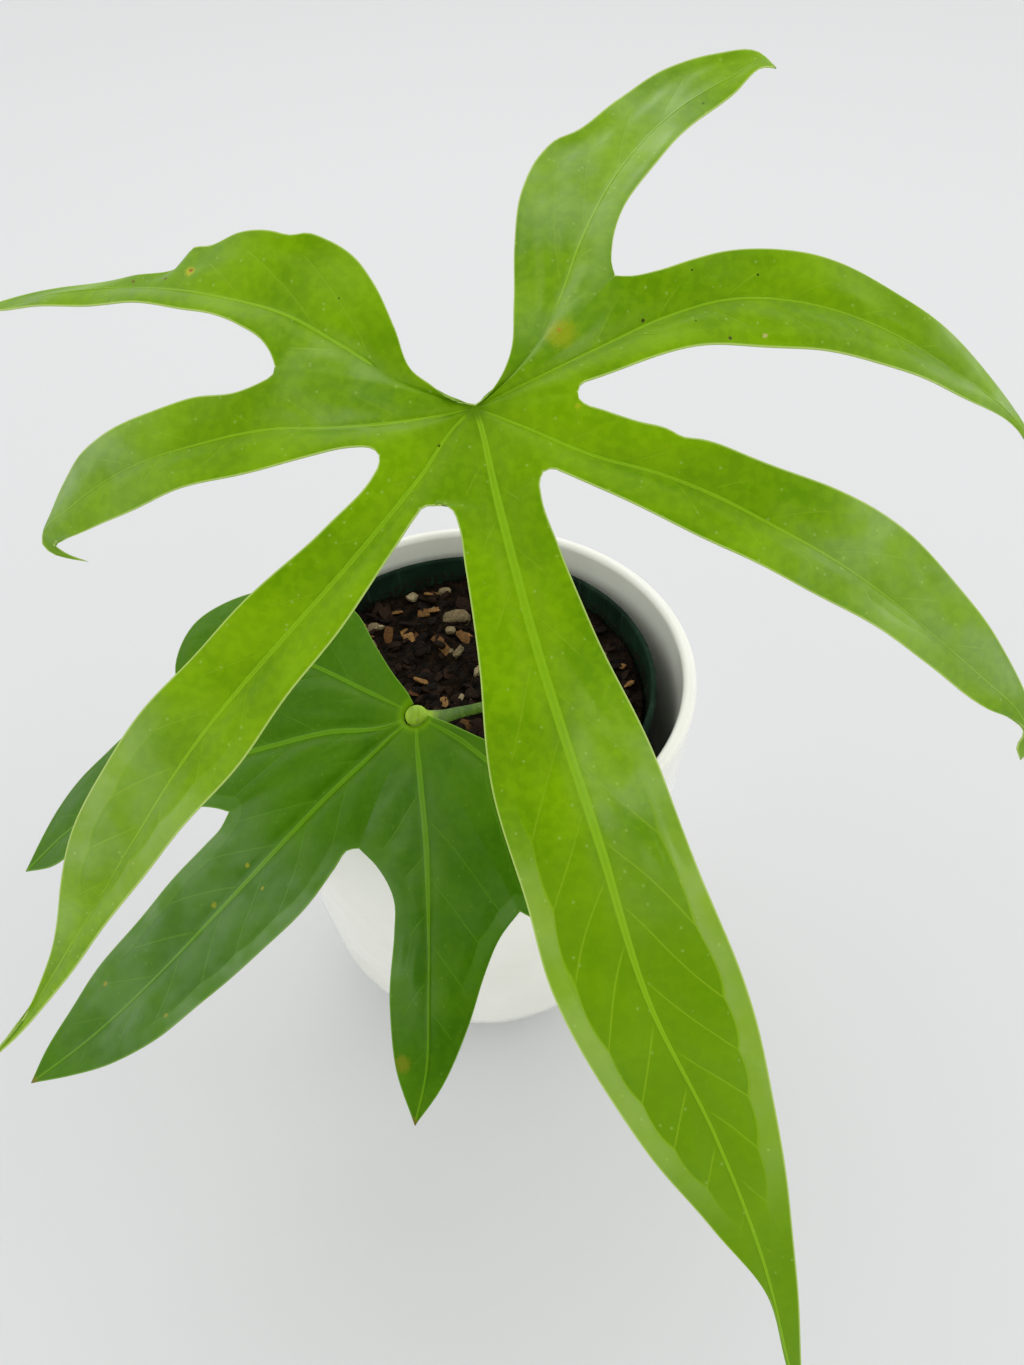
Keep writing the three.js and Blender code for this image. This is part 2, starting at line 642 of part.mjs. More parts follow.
// From the leaf's own frame to the plant: across, along and up of the blade
function leafFrame({ origin, tilt, heading }) {
  const dip = THREE.MathUtils.degToRad(tilt);
  const turn = THREE.MathUtils.degToRad(heading);
  const across = new THREE.Vector3(Math.cos(turn), Math.sin(turn), 0);
  const level = new THREE.Vector3(Math.sin(turn), -Math.cos(turn), 0);
  const down = new THREE.Vector3(0, 0, -1);
  const along = level.clone().multiplyScalar(Math.cos(dip)).addScaledVector(down, Math.sin(dip));
  const up = level.clone().multiplyScalar(Math.sin(dip)).addScaledVector(down, -Math.cos(dip));
  return { across, along, up, at: new THREE.Vector3(...origin) };
}

// Points that coincide become one, and triangles that shrink to a line there are left out
function mergedSheet(triangles) {
  const loose = new THREE.BufferGeometry();
  loose.setAttribute('position', new THREE.Float32BufferAttribute(triangles.flat(2), 3));
  const sheet = mergeVertices(loose, 1e-3);
  const kept = [];
  for (let i = 0; i < sheet.index.count; i += 3) {
    const [a, b, c] = sheet.index.array.slice(i, i + 3);
    if (a !== b && b !== c && c !== a) {
      kept.push(a, b, c);
    }
  }
  sheet.setIndex(kept);
  sheet.computeVertexNormals();
  return sheet;
}

function leafGeometry(leaf) {
  const { across, along, up, at } = leafFrame(leaf);
  const placed = leafSheet(leaf).map((triangle) => triangle.map(([x, y, z]) => at.clone()
    .addScaledVector(across, x)
    .addScaledVector(along, y)
    .addScaledVector(up, z)
    .toArray()));
  return thickened(mergedSheet(placed), bladeThickness);
}

const plant = new THREE.Group();
plant.add(
  named('cachepot', cachepotGeometry(), finishes.glaze),
  named('nursery_pot', nurseryPotGeometry(), finishes.plastic),
  named('potting_mix', pottingMixGeometry(), finishes.mix),
  named('stem', stemGeometry(), finishes.stem),
  named('upper_petiole', petioleGeometry(upperPetiole), finishes.petiole),
  named('upper_leaf', leafGeometry(upperLeaf), finishes.youngBlade),
  named('lower_petiole', petioleGeometry(lowerPetiole), finishes.petiole),
  named('lower_leaf', leafGeometry(lowerLeaf), finishes.oldBlade),
);

export default plant;
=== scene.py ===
import bpy
import numpy as np
from mathutils import Matrix, Vector


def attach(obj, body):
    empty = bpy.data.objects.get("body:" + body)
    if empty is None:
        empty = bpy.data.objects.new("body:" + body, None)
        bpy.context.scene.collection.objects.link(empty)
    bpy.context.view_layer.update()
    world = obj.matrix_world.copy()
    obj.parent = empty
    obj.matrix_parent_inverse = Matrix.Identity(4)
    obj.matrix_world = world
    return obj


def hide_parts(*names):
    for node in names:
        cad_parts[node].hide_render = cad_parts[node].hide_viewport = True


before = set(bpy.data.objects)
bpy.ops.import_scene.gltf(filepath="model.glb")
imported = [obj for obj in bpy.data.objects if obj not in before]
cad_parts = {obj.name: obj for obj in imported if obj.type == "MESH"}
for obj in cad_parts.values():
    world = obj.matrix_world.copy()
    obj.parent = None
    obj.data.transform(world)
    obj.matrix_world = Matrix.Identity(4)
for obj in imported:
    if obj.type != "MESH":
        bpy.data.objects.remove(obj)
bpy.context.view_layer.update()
scene = bpy.context.scene
mm = 0.001  # the dictionaries below are in millimetres, Blender's meshes in metres


# Shader expressions: a Value wraps a socket, and each operation on it adds a Math node

class Value:
    def __init__(self, tree, socket):
        self.tree = tree
        self.socket = socket

    def math(self, operation, *others):
        node = self.tree.nodes.new("ShaderNodeMath")
        node.operation = operation
        for slot, item in zip(node.inputs, (self, *others)):
            plug(self.tree, item, slot)
        return Value(self.tree, node.outputs[0])

    def __add__(self, other):
        return self.math("ADD", other)

    def __sub__(self, other):
        return self.math("SUBTRACT", other)

    def __rsub__(self, other):
        return self.math("MULTIPLY_ADD", -1.0, other)

    def __mul__(self, other):
        return self.math("MULTIPLY", other)

    __radd__ = __add__
    __rmul__ = __mul__

    def size(self):
        return self.math("ABSOLUTE")

    def nearest(self):
        # distance to the nearest whole number
        return self.math("PINGPONG", 0.5)

    def above(self, low, high):
        # 0 below low, 1 above high and a smooth step in between
        node = self.tree.nodes.new("ShaderNodeMapRange")
        node.interpolation_type = "SMOOTHSTEP"
        for name, item in (("Value", self), ("From Min", low), ("From Max", high)):
            plug(self.tree, item, node.inputs[name])
        return Value(self.tree, node.outputs[0])

    def below(self, low, high):
        return 1 - self.above(low, high)


def plug(tree, item, slot):
    if isinstance(item, Value):
        tree.links.new(item.socket, slot)
    elif slot.type == "RGBA":
        slot.default_value = (*item, 1.0)
    else:
        slot.default_value = item


def colour(red, green, blue):
    # a screen colour of 0 to 255 as the linear light that Blender's sockets take
    level = np.array([red, green, blue]) / 255
    return tuple(np.where(level > 0.04045, ((level + 0.055) / 1.055) ** 2.4, level / 12.92).tolist())


class Finish:
    # a material with its Principled shader; node() adds any node other than a Math node
    def __init__(self, name):
        self.material = bpy.data.materials.new(name)
        self.material.use_nodes = True
        self.tree = self.material.node_tree
        self.shader = self.tree.nodes["Principled BSDF"]

    def node(self, kind, settings=None, sockets=None, output=0):
        added = self.tree.nodes.new(kind)
        for name, setting in (settings or {}).items():
            setattr(added, name, setting)
        for key, item in (sockets or {}).items():
            plug(self.tree, item, added.inputs[key])
        return Value(self.tree, added.outputs[output])

    def place(self):
        return self.node("ShaderNodeTexCoord", output="Object")

    def height(self):
        # height above the floor in millimetres
        return self.node("ShaderNodeSeparateXYZ", sockets={0: self.place()}, output="Z") * (1 / mm)

    def layer(self, name):
        # the two numbers that a UV layer holds
        where = self.node("ShaderNodeUVMap", {"uv_map": name})
        return [self.node("ShaderNodeSeparateXYZ", sockets={0: where}, output=axis) for axis in ("X", "Y")]

    def blend(self, first, second, factor):
        return self.node("ShaderNodeMix", {"data_type": "RGBA"}, {0: factor, 6: first, 7: second}, output=2)

    def noise(self, size, detail=3.0, stretch=(1, 1, 1)):
        # lumps of about "size" millimetres around the value 0.5
        where = self.node("ShaderNodeMapping", sockets={"Vector": self.place(), "Scale": stretch})
        sockets = {"Vector": where, "Scale": 1 / (size * mm), "Detail": detail}
        return self.node("ShaderNodeTexNoise", sockets=sockets)

    def specks(self, spacing, reach):
        # round specks about "spacing" millimetres apart, fading out at "reach" of the spacing
        sockets = {"Vector": self.place(), "Scale": 1 / (spacing * mm)}
        return self.node("ShaderNodeTexVoronoi", sockets=sockets).below(reach * 0.4, reach)

    def relief(self, height, depth):
        # a Bump node from a height, "depth" millimetres for each unit of it
        sockets = {"Height": height, "Distance": depth * mm, "Strength": 1.0}
        return self.node("ShaderNodeBump", sockets=sockets)

    def surface(self, sockets):
        for name, item in sockets.items():
            plug(self.tree, item, self.shader.inputs[name])
        return self.material


# Camera and light

cameraView = {
    "eye": (12.3, -208.4, 341.0),
    "lookDown": 46.4,  # degrees below the horizon
    "roll": -2.5,
    "focalPixels": 1035,
    "imageHeight": 1365,
    "sensor": 36.0,
}
lights = {
    "backPanel": {"at": (-100, 700, 1000), "size": 600, "power": 0.9},
    "rightPanel": {"at": (950, 100, 800), "size": 500, "power": 0.7},
}
plantMiddle = (0, 0, 150)  # the panels face it
# an even white room that is darker round one direction above the plant; the two cosines say where the
# dark part begins and where it is full
roomLight = {
    "colour": (1.0, 1.0, 0.985),
    "bright": 1.12,
    "dark": 0.05,
    "darkTowards": (0.0, -0.42, 0.907),
    "darkCosines": (0.86, 0.965),
}


def addCamera():
    # right and down of a level camera, both turned by the roll about the line of sight
    pitch, roll = np.radians([cameraView["lookDown"], cameraView["roll"]])
    levelRight = np.array([1.0, 0.0, 0.0])
    levelDown = np.array([0.0, -np.sin(pitch), -np.cos(pitch)])
    right = np.cos(roll) * levelRight - np.sin(roll) * levelDown
    down = np.sin(roll) * levelRight + np.cos(roll) * levelDown
    ahead = np.array([0.0, np.cos(pitch), -np.sin(pitch)])
    data = bpy.data.cameras.new("photoCamera")
    data.sensor_width = cameraView["sensor"]
    data.lens = cameraView["sensor"] * cameraView["focalPixels"] / cameraView["imageHeight"]
    data.clip_start = 10 * mm
    camera = bpy.data.objects.new("photoCamera", data)
    scene.collection.objects.link(camera)
    place = Matrix(np.column_stack([right, -down, -ahead]).tolist()).to_4x4()
    place.translation = Vector(cameraView["eye"]) * mm
    camera.matrix_world = place
    scene.camera = camera


def addLight(name, at, size, power):
    # a round panel that faces the middle of the plant
    data = bpy.data.lights.new(name, "AREA")
    data.shape = "DISK"
    data.size = size * mm
    data.energy = power
    light = bpy.data.objects.new(name, data)
    scene.collection.objects.link(light)
    light.location = Vector(at) * mm
    aim = light.location - Vector(plantMiddle) * mm
    light.rotation_euler = aim.to_track_quat("Z", "Y").to_euler()


def addRoomLight():
    # the light from a direction depends on the cosine of its angle to the dark part's middle
    world = bpy.data.worlds.new("softRoom")
    world.use_nodes = True
    tree = world.node_tree
    direction = tree.nodes.new("ShaderNodeTexCoord").outputs["Generated"]
    nearness = tree.nodes.new("ShaderNodeVectorMath")
    nearness.operation = "DOT_PRODUCT"
    tree.links.new(direction, nearness.inputs[0])
    nearness.inputs[1].default_value = roomLight["darkTowards"]
    shade = Value(tree, nearness.outputs["Value"]).above(*roomLight["darkCosines"])
    backdrop = tree.nodes["Background"]
    backdrop.inputs["Color"].default_value = (*roomLight["colour"], 1)
    strength = shade * (roomLight["dark"] - roomLight["bright"]) + roomLight["bright"]
    plug(tree, strength, backdrop.inputs["Strength"])
    scene.world = world


scene.view_settings.view_transform = "Standard"
addCamera()
for lightName, lightSetting in lights.items():
    addLight(lightName, **lightSetting)
addRoomLight()
print("camera and lights in place")


# Mesh helpers, all in millimetres

def gridTriangles(rows, columns, wrap=False):
    # two triangles for each cell of a grid of points; with wrap the last column meets the first
    row, column = np.meshgrid(np.arange(rows - 1), np.arange(columns if wrap else columns - 1), indexing="ij")
    a = (row * columns + column).ravel()
    b = (row * columns + (column + 1) % columns).ravel()
    c = a + columns
    d = b + columns
    return np.concatenate([np.stack([a, b, d], 1), np.stack([a, d, c], 1)])


def welded(points, triangles):
    # points that coincide become one, and triangles that shrink to a line there are left out;
    # the corners of the kept triangles come too, still numbered as the points that came in
    grain = 0.001
    keys = np.round(points / grain).astype(np.int64)
    _, first, whose = np.unique(keys, axis=0, return_index=True, return_inverse=True)
    joined = whose.reshape(-1)[triangles]
    a, b, c = joined.T
    kept = (a != b) & (b != c) & (c != a)
    return points[first], joined[kept], triangles[kept]


def newObject(name, points, triangles):
    # an object at the origin with one mesh
    mesh = bpy.data.meshes.new(name)
    mesh.from_pydata((points * mm).tolist(), [], triangles.tolist())
    made = bpy.data.objects.new(name, mesh)
    scene.collection.objects.link(made)
    return made


def makePiece(name, points, triangles, materials, layers=None, materialOf=None, sharpAngle=None):
    # layers hold two numbers for each corner of each triangle
    piece = newObject(name, points, triangles)
    mesh = piece.data
    for layerName, values in (layers or {}).items():
        layer = mesh.uv_layers.new(name=layerName)
        layer.data.foreach_set("uv", np.asarray(values, np.float32).ravel())
    for material in materials:
        mesh.materials.append(material)
    if materialOf is not None:
        mesh.polygons.foreach_set("material_index", materialOf)
    mesh.shade_smooth()
    if sharpAngle:
        mesh.set_sharp_from_angle(angle=np.radians(sharpAngle))
    mesh.update()
    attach(piece, "root")
    return piece


def smoothCurve(through, count):
    # cubic pieces through the points, whose slope at a point weighs its two chords by their length;
    # the curve comes cut into equal steps, with its length
    denseCount = 600
    points = np.array(through, float)
    chord = np.linalg.norm(np.diff(points, axis=0), axis=1)
    knots = np.concatenate([[0], np.cumsum(chord)])
    slope = np.diff(points, axis=0) / chord[:, None]
    before, after = chord[:-1, None], chord[1:, None]
    inner = (slope[:-1] * after + slope[1:] * before) / (before + after)
    tangent = np.concatenate([slope[:1], inner, slope[-1:]])
    at = np.linspace(0, knots[-1], denseCount)
    piece = np.clip(np.searchsorted(knots, at, "right") - 1, 0, len(chord) - 1)
    h = chord[piece][:, None]
    u = (at - knots[piece])[:, None] / h
    dense = ((2 * u**3 - 3 * u**2 + 1) * points[piece] + (u**3 - 2 * u**2 + u) * h * tangent[piece]
             + (3 * u**2 - 2 * u**3) * points[piece + 1] + (u**3 - u**2) * h * tangent[piece + 1])
    travelled = np.concatenate([[0], np.cumsum(np.linalg.norm(np.diff(dense, axis=0), axis=1))])
    wanted = np.linspace(0, travelled[-1], count)
    cut = np.stack([np.interp(wanted, travelled, axis) for axis in dense.T], axis=1)
    return cut, travelled[-1]


def smoothStep(value, low, high):
    share = np.clip((value - low) / (high - low), 0, 1)
    return share**2 * (3 - 2 * share)


def softNoise(x, y, size, seed, shift):
    # seeded random heights of -1 to 1 on a square net, joined by smooth steps; the net is moved by the shift
    cells = 64
    table = np.random.default_rng(seed).uniform(-1, 1, (cells, cells))
    x, y = (x + shift) / size, (y + shift) / size
    cellX, cellY = np.floor(x).astype(int), np.floor(y).astype(int)
    easeX, easeY = smoothStep(x - cellX, 0, 1), smoothStep(y - cellY, 0, 1)

    def between(column):
        low, high = table[column, cellY % cells], table[column, (cellY + 1) % cells]
        return low * (1 - easeY) + high * easeY

    return between(cellX % cells) * (1 - easeX) + between((cellX + 1) % cells) * easeX


def arc(centreRadius, centreHeight, radius, start, end, steps):
    # [radius, height] points on a circle from one angle to another, in degrees
    angle = np.radians(np.linspace(start, end, steps + 1))
    x = centreRadius + radius * np.cos(angle)
    return np.stack([x, centreHeight + radius * np.sin(angle)], 1).tolist()


def turned(profile, sides, centre=(0, 0)):
    # a closed profile of [radius, height] points carried round an upright axis
    radius, height = np.array(profile, float).T
    angle = np.linspace(0, 2 * np.pi, sides, endpoint=False)
    x = centre[0] + radius[:, None] * np.cos(angle)
    y = centre[1] + radius[:, None] * np.sin(angle)
    z = np.repeat(height[:, None], sides, axis=1)
    points = np.stack([x, y, z], axis=-1).reshape(-1, 3)
    return welded(points, gridTriangles(len(profile), sides, wrap=True))[:2]


# Floor

floor = {"width": 40000, "colour": (226, 227, 229)}


def addFloor():
    half = floor["width"] / 2
    x, y = np.meshgrid([-half, half], [-half, half], indexing="ij")
    points = np.stack([x, y, np.zeros_like(x)], axis=-1).reshape(-1, 3)
    piece = newObject("floor", points, gridTriangles(2, 2)[:, ::-1])
    finish = Finish("floorPaper")
    finish.surface({"Base Color": colour(*floor["colour"]), "Roughness": 0.9, "Specular IOR Level": 0.1})
    piece.data.materials.append(finish.material)


addFloor()


# Glazed cachepot

cachepot = {
    "height": 130,
    "rimRadius": 65,
    "wallFootRadius": 56,
    "cornerRadius": 27,
    "cornerFrom": -88,  # degrees round the corner at which it leaves the underside
    "wall": 4,
    "footThicker": 0.5,
    "floorTop": 9,
    "innerCornerRadius": 12,
    "footRing": (25, 28),
    "footHeight": 0.9,
    "sides": 160,
    "glaze": (246, 246, 238),
    "glazeShade": (238, 238, 228),
    "pinhole": (196, 192, 178),
    "bareClay": (214, 205, 188),
}


def glazeFinish():
    finish = Finish("whiteGlaze")
    cloud = finish.noise(38, detail=2).above(0.35, 0.7)
    glazed = finish.blend(colour(*cachepot["glaze"]), colour(*cachepot["glazeShade"]), cloud)
    pinholes = finish.specks(9, 0.035)
    spotted = finish.blend(glazed, colour(*cachepot["pinhole"]), pinholes * 0.6)
    bare = finish.height().below(0.5, 1.1)
    ripple = finish.noise(14, detail=1) + finish.noise(2.2, detail=2) * 0.08 - pinholes * 0.25
    return finish.surface({
        "Base Color": finish.blend(spotted, colour(*cachepot["bareClay"]), bare),
        "Roughness": 0.16 + finish.noise(20) * 0.1 + bare * 0.55,
        "Coat Weight": 0.5 - bare * 0.5,
        "Coat Roughness": 0.08,
        "Normal": finish.relief(ripple, 0.35),
    })


def makeCachepot():
    # floor ring, rounded corner, flared wall, round lip, then down the inside to a rounded floor
    pot = cachepot
    lip = pot["wall"] / 2
    corner = pot["cornerRadius"]
    inner = pot["innerCornerRadius"]
    innerFoot = pot["wallFootRadius"] - pot["wall"] - pot["footThicker"]
    ringInner, ringOuter = pot["footRing"]
    profile = [
        [0, pot["footHeight"]],
        [ringInner - 1, pot["footHeight"]],
        [ringInner, 0],
        [ringOuter, 0],
        *arc(pot["wallFootRadius"] - corner, corner, corner, pot["cornerFrom"], 0, 20),
        *arc(pot["rimRadius"] - lip, pot["height"] - lip, lip, 0, 180, 14),
        *arc(innerFoot - inner, pot["floorTop"] + inner, inner, 0, -90, 10),
        [0, pot["floorTop"]],
    ]
    points, triangles = turned(profile, pot["sides"])
    piece = makePiece("glazedCachepot", points, triangles, [glazeFinish()], sharpAngle=40)
    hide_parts("cachepot")


makeCachepot()
print("cachepot made")


# Nursery pot

nursery = {
    "offset": (-1, 2.5),
    "rimRadius": 55.5,
    "rimTop": 123,
    "rimBand": 9,
    "rimStep": 2,
    "rimRound": 0.9,  # radius of the rolled top of the rim band
    "bandRound": 0.3,  # and of its lower edge
    "bandLean": 0.4,  # how far that edge lies inside the top
    "underBand": 0.6,  # height of the small flare below the band
    "flare": 0.2,
    "insideStep": 1,  # half the height of the slope inside, where the band begins
    "footRadius": 38,
    "footRound": 1.5,
    "innerFootRound": 1,
    "bottom": 9.3,
    "wall": 1,
    "floor": 1.6,
    "sides": 160,
    "drainHoles": {"count": 6, "radius": 4, "ring": 21, "reach": (-3, 5)},
    "green": (26, 48, 34),
    "greenShade": (17, 34, 24),
    "scratch": (60, 84, 66),
    "soilDust": (34, 27, 19),
    "dustHeights": (119.5, 123),  # where the dust is full and where it ends
}


def nurseryFinish():
    finish = Finish("greenPlastic")
    cloud = finish.noise(16).above(0.35, 0.65)
    plastic = finish.blend(colour(*nursery["green"]), colour(*nursery["greenShade"]), cloud)
    scratches = finish.noise(1.6, detail=4, stretch=(1, 1, 0.12)).above(0.56, 0.68)
    dustLine = finish.height() + finish.noise(5, detail=4) * 8
    dust = dustLine.below(*nursery["dustHeights"]) * finish.noise(1.2, detail=5).above(0.42, 0.6)
    worn = finish.blend(plastic, colour(*nursery["scratch"]), scratches * 0.25)
    return finish.surface({
        "Base Color": finish.blend(worn, colour(*nursery["soilDust"]), dust * 0.8),
        "Roughness": 0.55 + cloud * 0.1 + scratches * 0.15 + dust * 0.2,
        "Specular IOR Level": 0.05,
        "Normal": finish.relief(finish.noise(0.9) * 0.5 + dust + scratches * 0.3, 0.12),
    })


def makeNurseryPot():
    # flat floor, conical wall, stepped rim band with a rolled top, and the same 1 mm further in going down
    pot = nursery
    bottom, rim, top = pot["bottom"], pot["rimRadius"], pot["rimTop"]
    foot, wall = pot["footRadius"], pot["wall"]
    bandBottom = top - pot["rimBand"]
    wallTop = rim - pot["rimStep"]
    footRound, inner = pot["footRound"], pot["innerFootRound"]
    edge, roll = pot["bandRound"], pot["rimRound"]
    profile = [
        [0, bottom],
        *arc(foot - footRound, bottom + footRound, footRound, -90, 0, 4),
        [wallTop, bandBottom - pot["underBand"]],
        [wallTop + pot["flare"], bandBottom],
        *arc(rim - pot["bandLean"] - edge, bandBottom + edge, edge, -90, 0, 3),
        *arc(rim - roll, top - roll, roll, 0, 180, 8),
        [rim - wall - roll, bandBottom + pot["insideStep"]],
        [wallTop - wall, bandBottom - pot["insideStep"]],
        *arc(foot - wall - inner, bottom + pot["floor"] + inner, inner, 0, -90, 4),
        [0, bottom + pot["floor"]],
    ]
    points, triangles = turned(profile, pot["sides"], pot["offset"])
    piece = makePiece("nurseryPot", points, triangles, [nurseryFinish()], sharpAngle=35)
    cutHoles(piece)
    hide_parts("nursery_pot")


def cutHoles(piece):
    # round drain holes on a ring in the floor
    holes = nursery["drainHoles"]
    low, high = (nursery["bottom"] + reach for reach in holes["reach"])
    profile = [[0, low], [holes["radius"], low], [holes["radius"], high], [0, high]]
    for number in range(holes["count"]):
        angle = 2 * np.pi * number / holes["count"]
        centre = (nursery["offset"][0] + holes["ring"] * np.cos(angle),
                  nursery["offset"][1] + holes["ring"] * np.sin(angle))
        cutter = newObject("holeCutter", *turned(profile, 32, centre))
        cut = piece.modifiers.new("drainHole", "BOOLEAN")
        cut.object = cutter
        cut.operation = "DIFFERENCE"
        cut.solver = "EXACT"
        bpy.context.view_layer.objects.active = piece
        bpy.ops.object.modifier_apply(modifier=cut.name)
        bpy.data.meshes.remove(cutter.data)


makeNurseryPot()
print("nursery pot made")


# Potting mix: a lumpy dark body with loose pieces lying on it

mix = {
    "bottom": 11.2,
    "footRadius": 35.5,
    "topRadius": 52,
    "top": 115,
    "footCorner": 1,
    "shoulder": 3,  # height of the plain stretch of wall just under the lumps
    "rings": 72,
    "sides": 220,
    "lumps": [(9.0, 0.9), (3.6, 0.8), (1.5, 0.45)],  # size and height of each layer of lumps
    "netShift": 200,  # moves the net of random heights
    "dark": (15, 11, 7),
    "brown": (36, 25, 16),
    "crumb": (60, 43, 29),
}
# each kind's "placed" pieces are those that the photograph shows: x, y, length, turn in degrees, tone
loosePieces = {
    "barkPieces": {
        "count": 430, "seed": 5, "length": (2.2, 5.6), "flat": (0.35, 0.75), "roughness": 0.8,
        "colours": ((16, 11, 7), (50, 32, 20)), "raise": 0.6,
        "placed": [],
    },
    "woodFibres": {
        "count": 70, "seed": 8, "length": (2.0, 6.5), "flat": (0.16, 0.4), "roughness": 0.75,
        "colours": ((88, 56, 28), (160, 120, 70)), "raise": 1.4,
        "placed": [(-13, 48, 5, 30, 0.8), (-20, 29, 6, 110, 1.0), (-24, 40, 4, 20, 0.5),
                   (47, 3.4, 4, 30, 0.8), (-15, 38, 4.5, 0, 0.4), (46, 11.6, 4.5, 60, 0.7),
                   (-8, -0.7, 4.5, 100, 0.9)],
    },
    "paleGrit": {
        "count": 46, "seed": 3, "length": (1.4, 3.2), "flat": (0.6, 0.95), "roughness": 0.9,
        "colours": ((112, 96, 68), (176, 160, 124)), "raise": 1.5,
        "placed": [(-19, 47.5, 5, 60, 0.9), (-8.7, 48.5, 4.5, 0, 0.4), (-5, 36, 9, -5, 0.2),
                   (-31, 33, 4.5, 20, 0.3), (-6.5, 30.5, 4, 90, 0.4), (-3.8, 19.4, 4, 40, 0.4),
                   (-3.7, 1, 4, 60, 0.8), (1.8, 11.7, 4, 80, 0.8)],
    },
}
looseBlock = {
    "rows": 6,
    "columns": 8,
    "blunt": 0.6,  # power of the sines and cosines: 1 is a ball, smaller is squarer
    "width": (0.4, 0.8),  # shares of the length
    "thinner": 0.6,
    "rough": 0.16,
    "lean": 0.28,
    "wallGap": 3.2,
    "stemGap": 0.6,
    "grainShade": (30, 20, 14),
}


def mixHeight(x, y):
    # sum of lumps of several sizes, above the level of the mix
    return sum(height * softNoise(x, y, size, number, mix["netShift"])
               for number, (size, height) in enumerate(mix["lumps"]))


def mixFinish():
    finish = Finish("pottingMix")
    tone = finish.noise(2.4, detail=5).above(0.38, 0.66)
    damp = finish.noise(6, detail=3).above(0.45, 0.6)
    crumbs = finish.specks(1.1, 0.5)
    base = finish.blend(colour(*mix["dark"]), colour(*mix["brown"]), tone * 0.8)
    return finish.surface({
        "Base Color": finish.blend(base, colour(*mix["crumb"]), crumbs * tone * 0.5),
        "Roughness": 0.95 - damp * 0.35,
        "Specular IOR Level": 0.06,
        "Normal": finish.relief(finish.noise(0.8, detail=5) + crumbs * 0.5, 0.7),
    })


def makeMix():
    # a tapered plug whose top rings, from the wall to the middle, carry the lumps
    bottom, top, foot, reach = mix["bottom"], mix["top"], mix["footRadius"], mix["topRadius"]
    corner = mix["footCorner"]
    under = np.array([(0, bottom), (foot - corner, bottom), (foot, bottom + corner),
                      (reach, top - mix["shoulder"])])
    ring = np.linspace(1, 0, mix["rings"])
    radius = np.concatenate([under[:, 0], reach * ring])
    level = np.concatenate([under[:, 1], np.full(len(ring), top)])
    angle = np.linspace(0, 2 * np.pi, mix["sides"], endpoint=False)
    x = nursery["offset"][0] + radius[:, None] * np.cos(angle)
    y = nursery["offset"][1] + radius[:, None] * np.sin(angle)
    z = np.repeat(level[:, None], mix["sides"], axis=1)
    z[len(under):] += mixHeight(x[len(under):], y[len(under):])
    points = np.stack([x, y, z], axis=-1).reshape(-1, 3)
    points, triangles, _ = welded(points, gridTriangles(len(radius), mix["sides"], wrap=True))
    piece = makePiece("pottingMixBody", points, triangles, [mixFinish()])
    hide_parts("potting_mix")


def looseFinish(name, setting):
    finish = Finish(name + "Finish")
    tone, _ = finish.layer("tone")
    grain = finish.noise(0.9, detail=4, stretch=(1, 1, 2)).above(0.35, 0.65)
    dark, light = (colour(*c) for c in setting["colours"])
    shade = finish.blend(dark, light, tone)
    return finish.surface({
        "Base Color": finish.blend(shade, colour(*looseBlock["grainShade"]), grain * 0.35),
        "Roughness": setting["roughness"] - grain * 0.15,
        "Specular IOR Level": 0.1,
        "Normal": finish.relief(grain + finish.noise(0.35, detail=3) * 0.6, 0.18),
    })


def scattered(setting, rng):
    # x, y, length, turn and tone: pieces strewn evenly over the mix, then the placed ones, without those that
    # would reach the stem
    count = setting["count"]
    distance = (mix["topRadius"] - looseBlock["wallGap"]) * np.sqrt(rng.random(count))
    angle = 2 * np.pi * rng.random(count)
    x = nursery["offset"][0] + distance * np.cos(angle)
    y = nursery["offset"][1] + distance * np.sin(angle)
    length = rng.uniform(*setting["length"], count)
    turn = np.pi * rng.random(count)
    tone = rng.random(count) ** 1.4
    placed = np.array(setting["placed"], float).reshape(-1, 5)
    placed[:, 3] = np.radians(placed[:, 3])
    x, y, length, turn, tone = np.concatenate([np.column_stack([x, y, length, turn, tone]), placed]).T
    reach = stem["radius"] + 0.5 * length + looseBlock["stemGap"]
    clear = np.hypot(x - stem["foot"][0], y - stem["foot"][1]) > reach
    return x[clear], y[clear], length[clear], turn[clear], tone[clear]


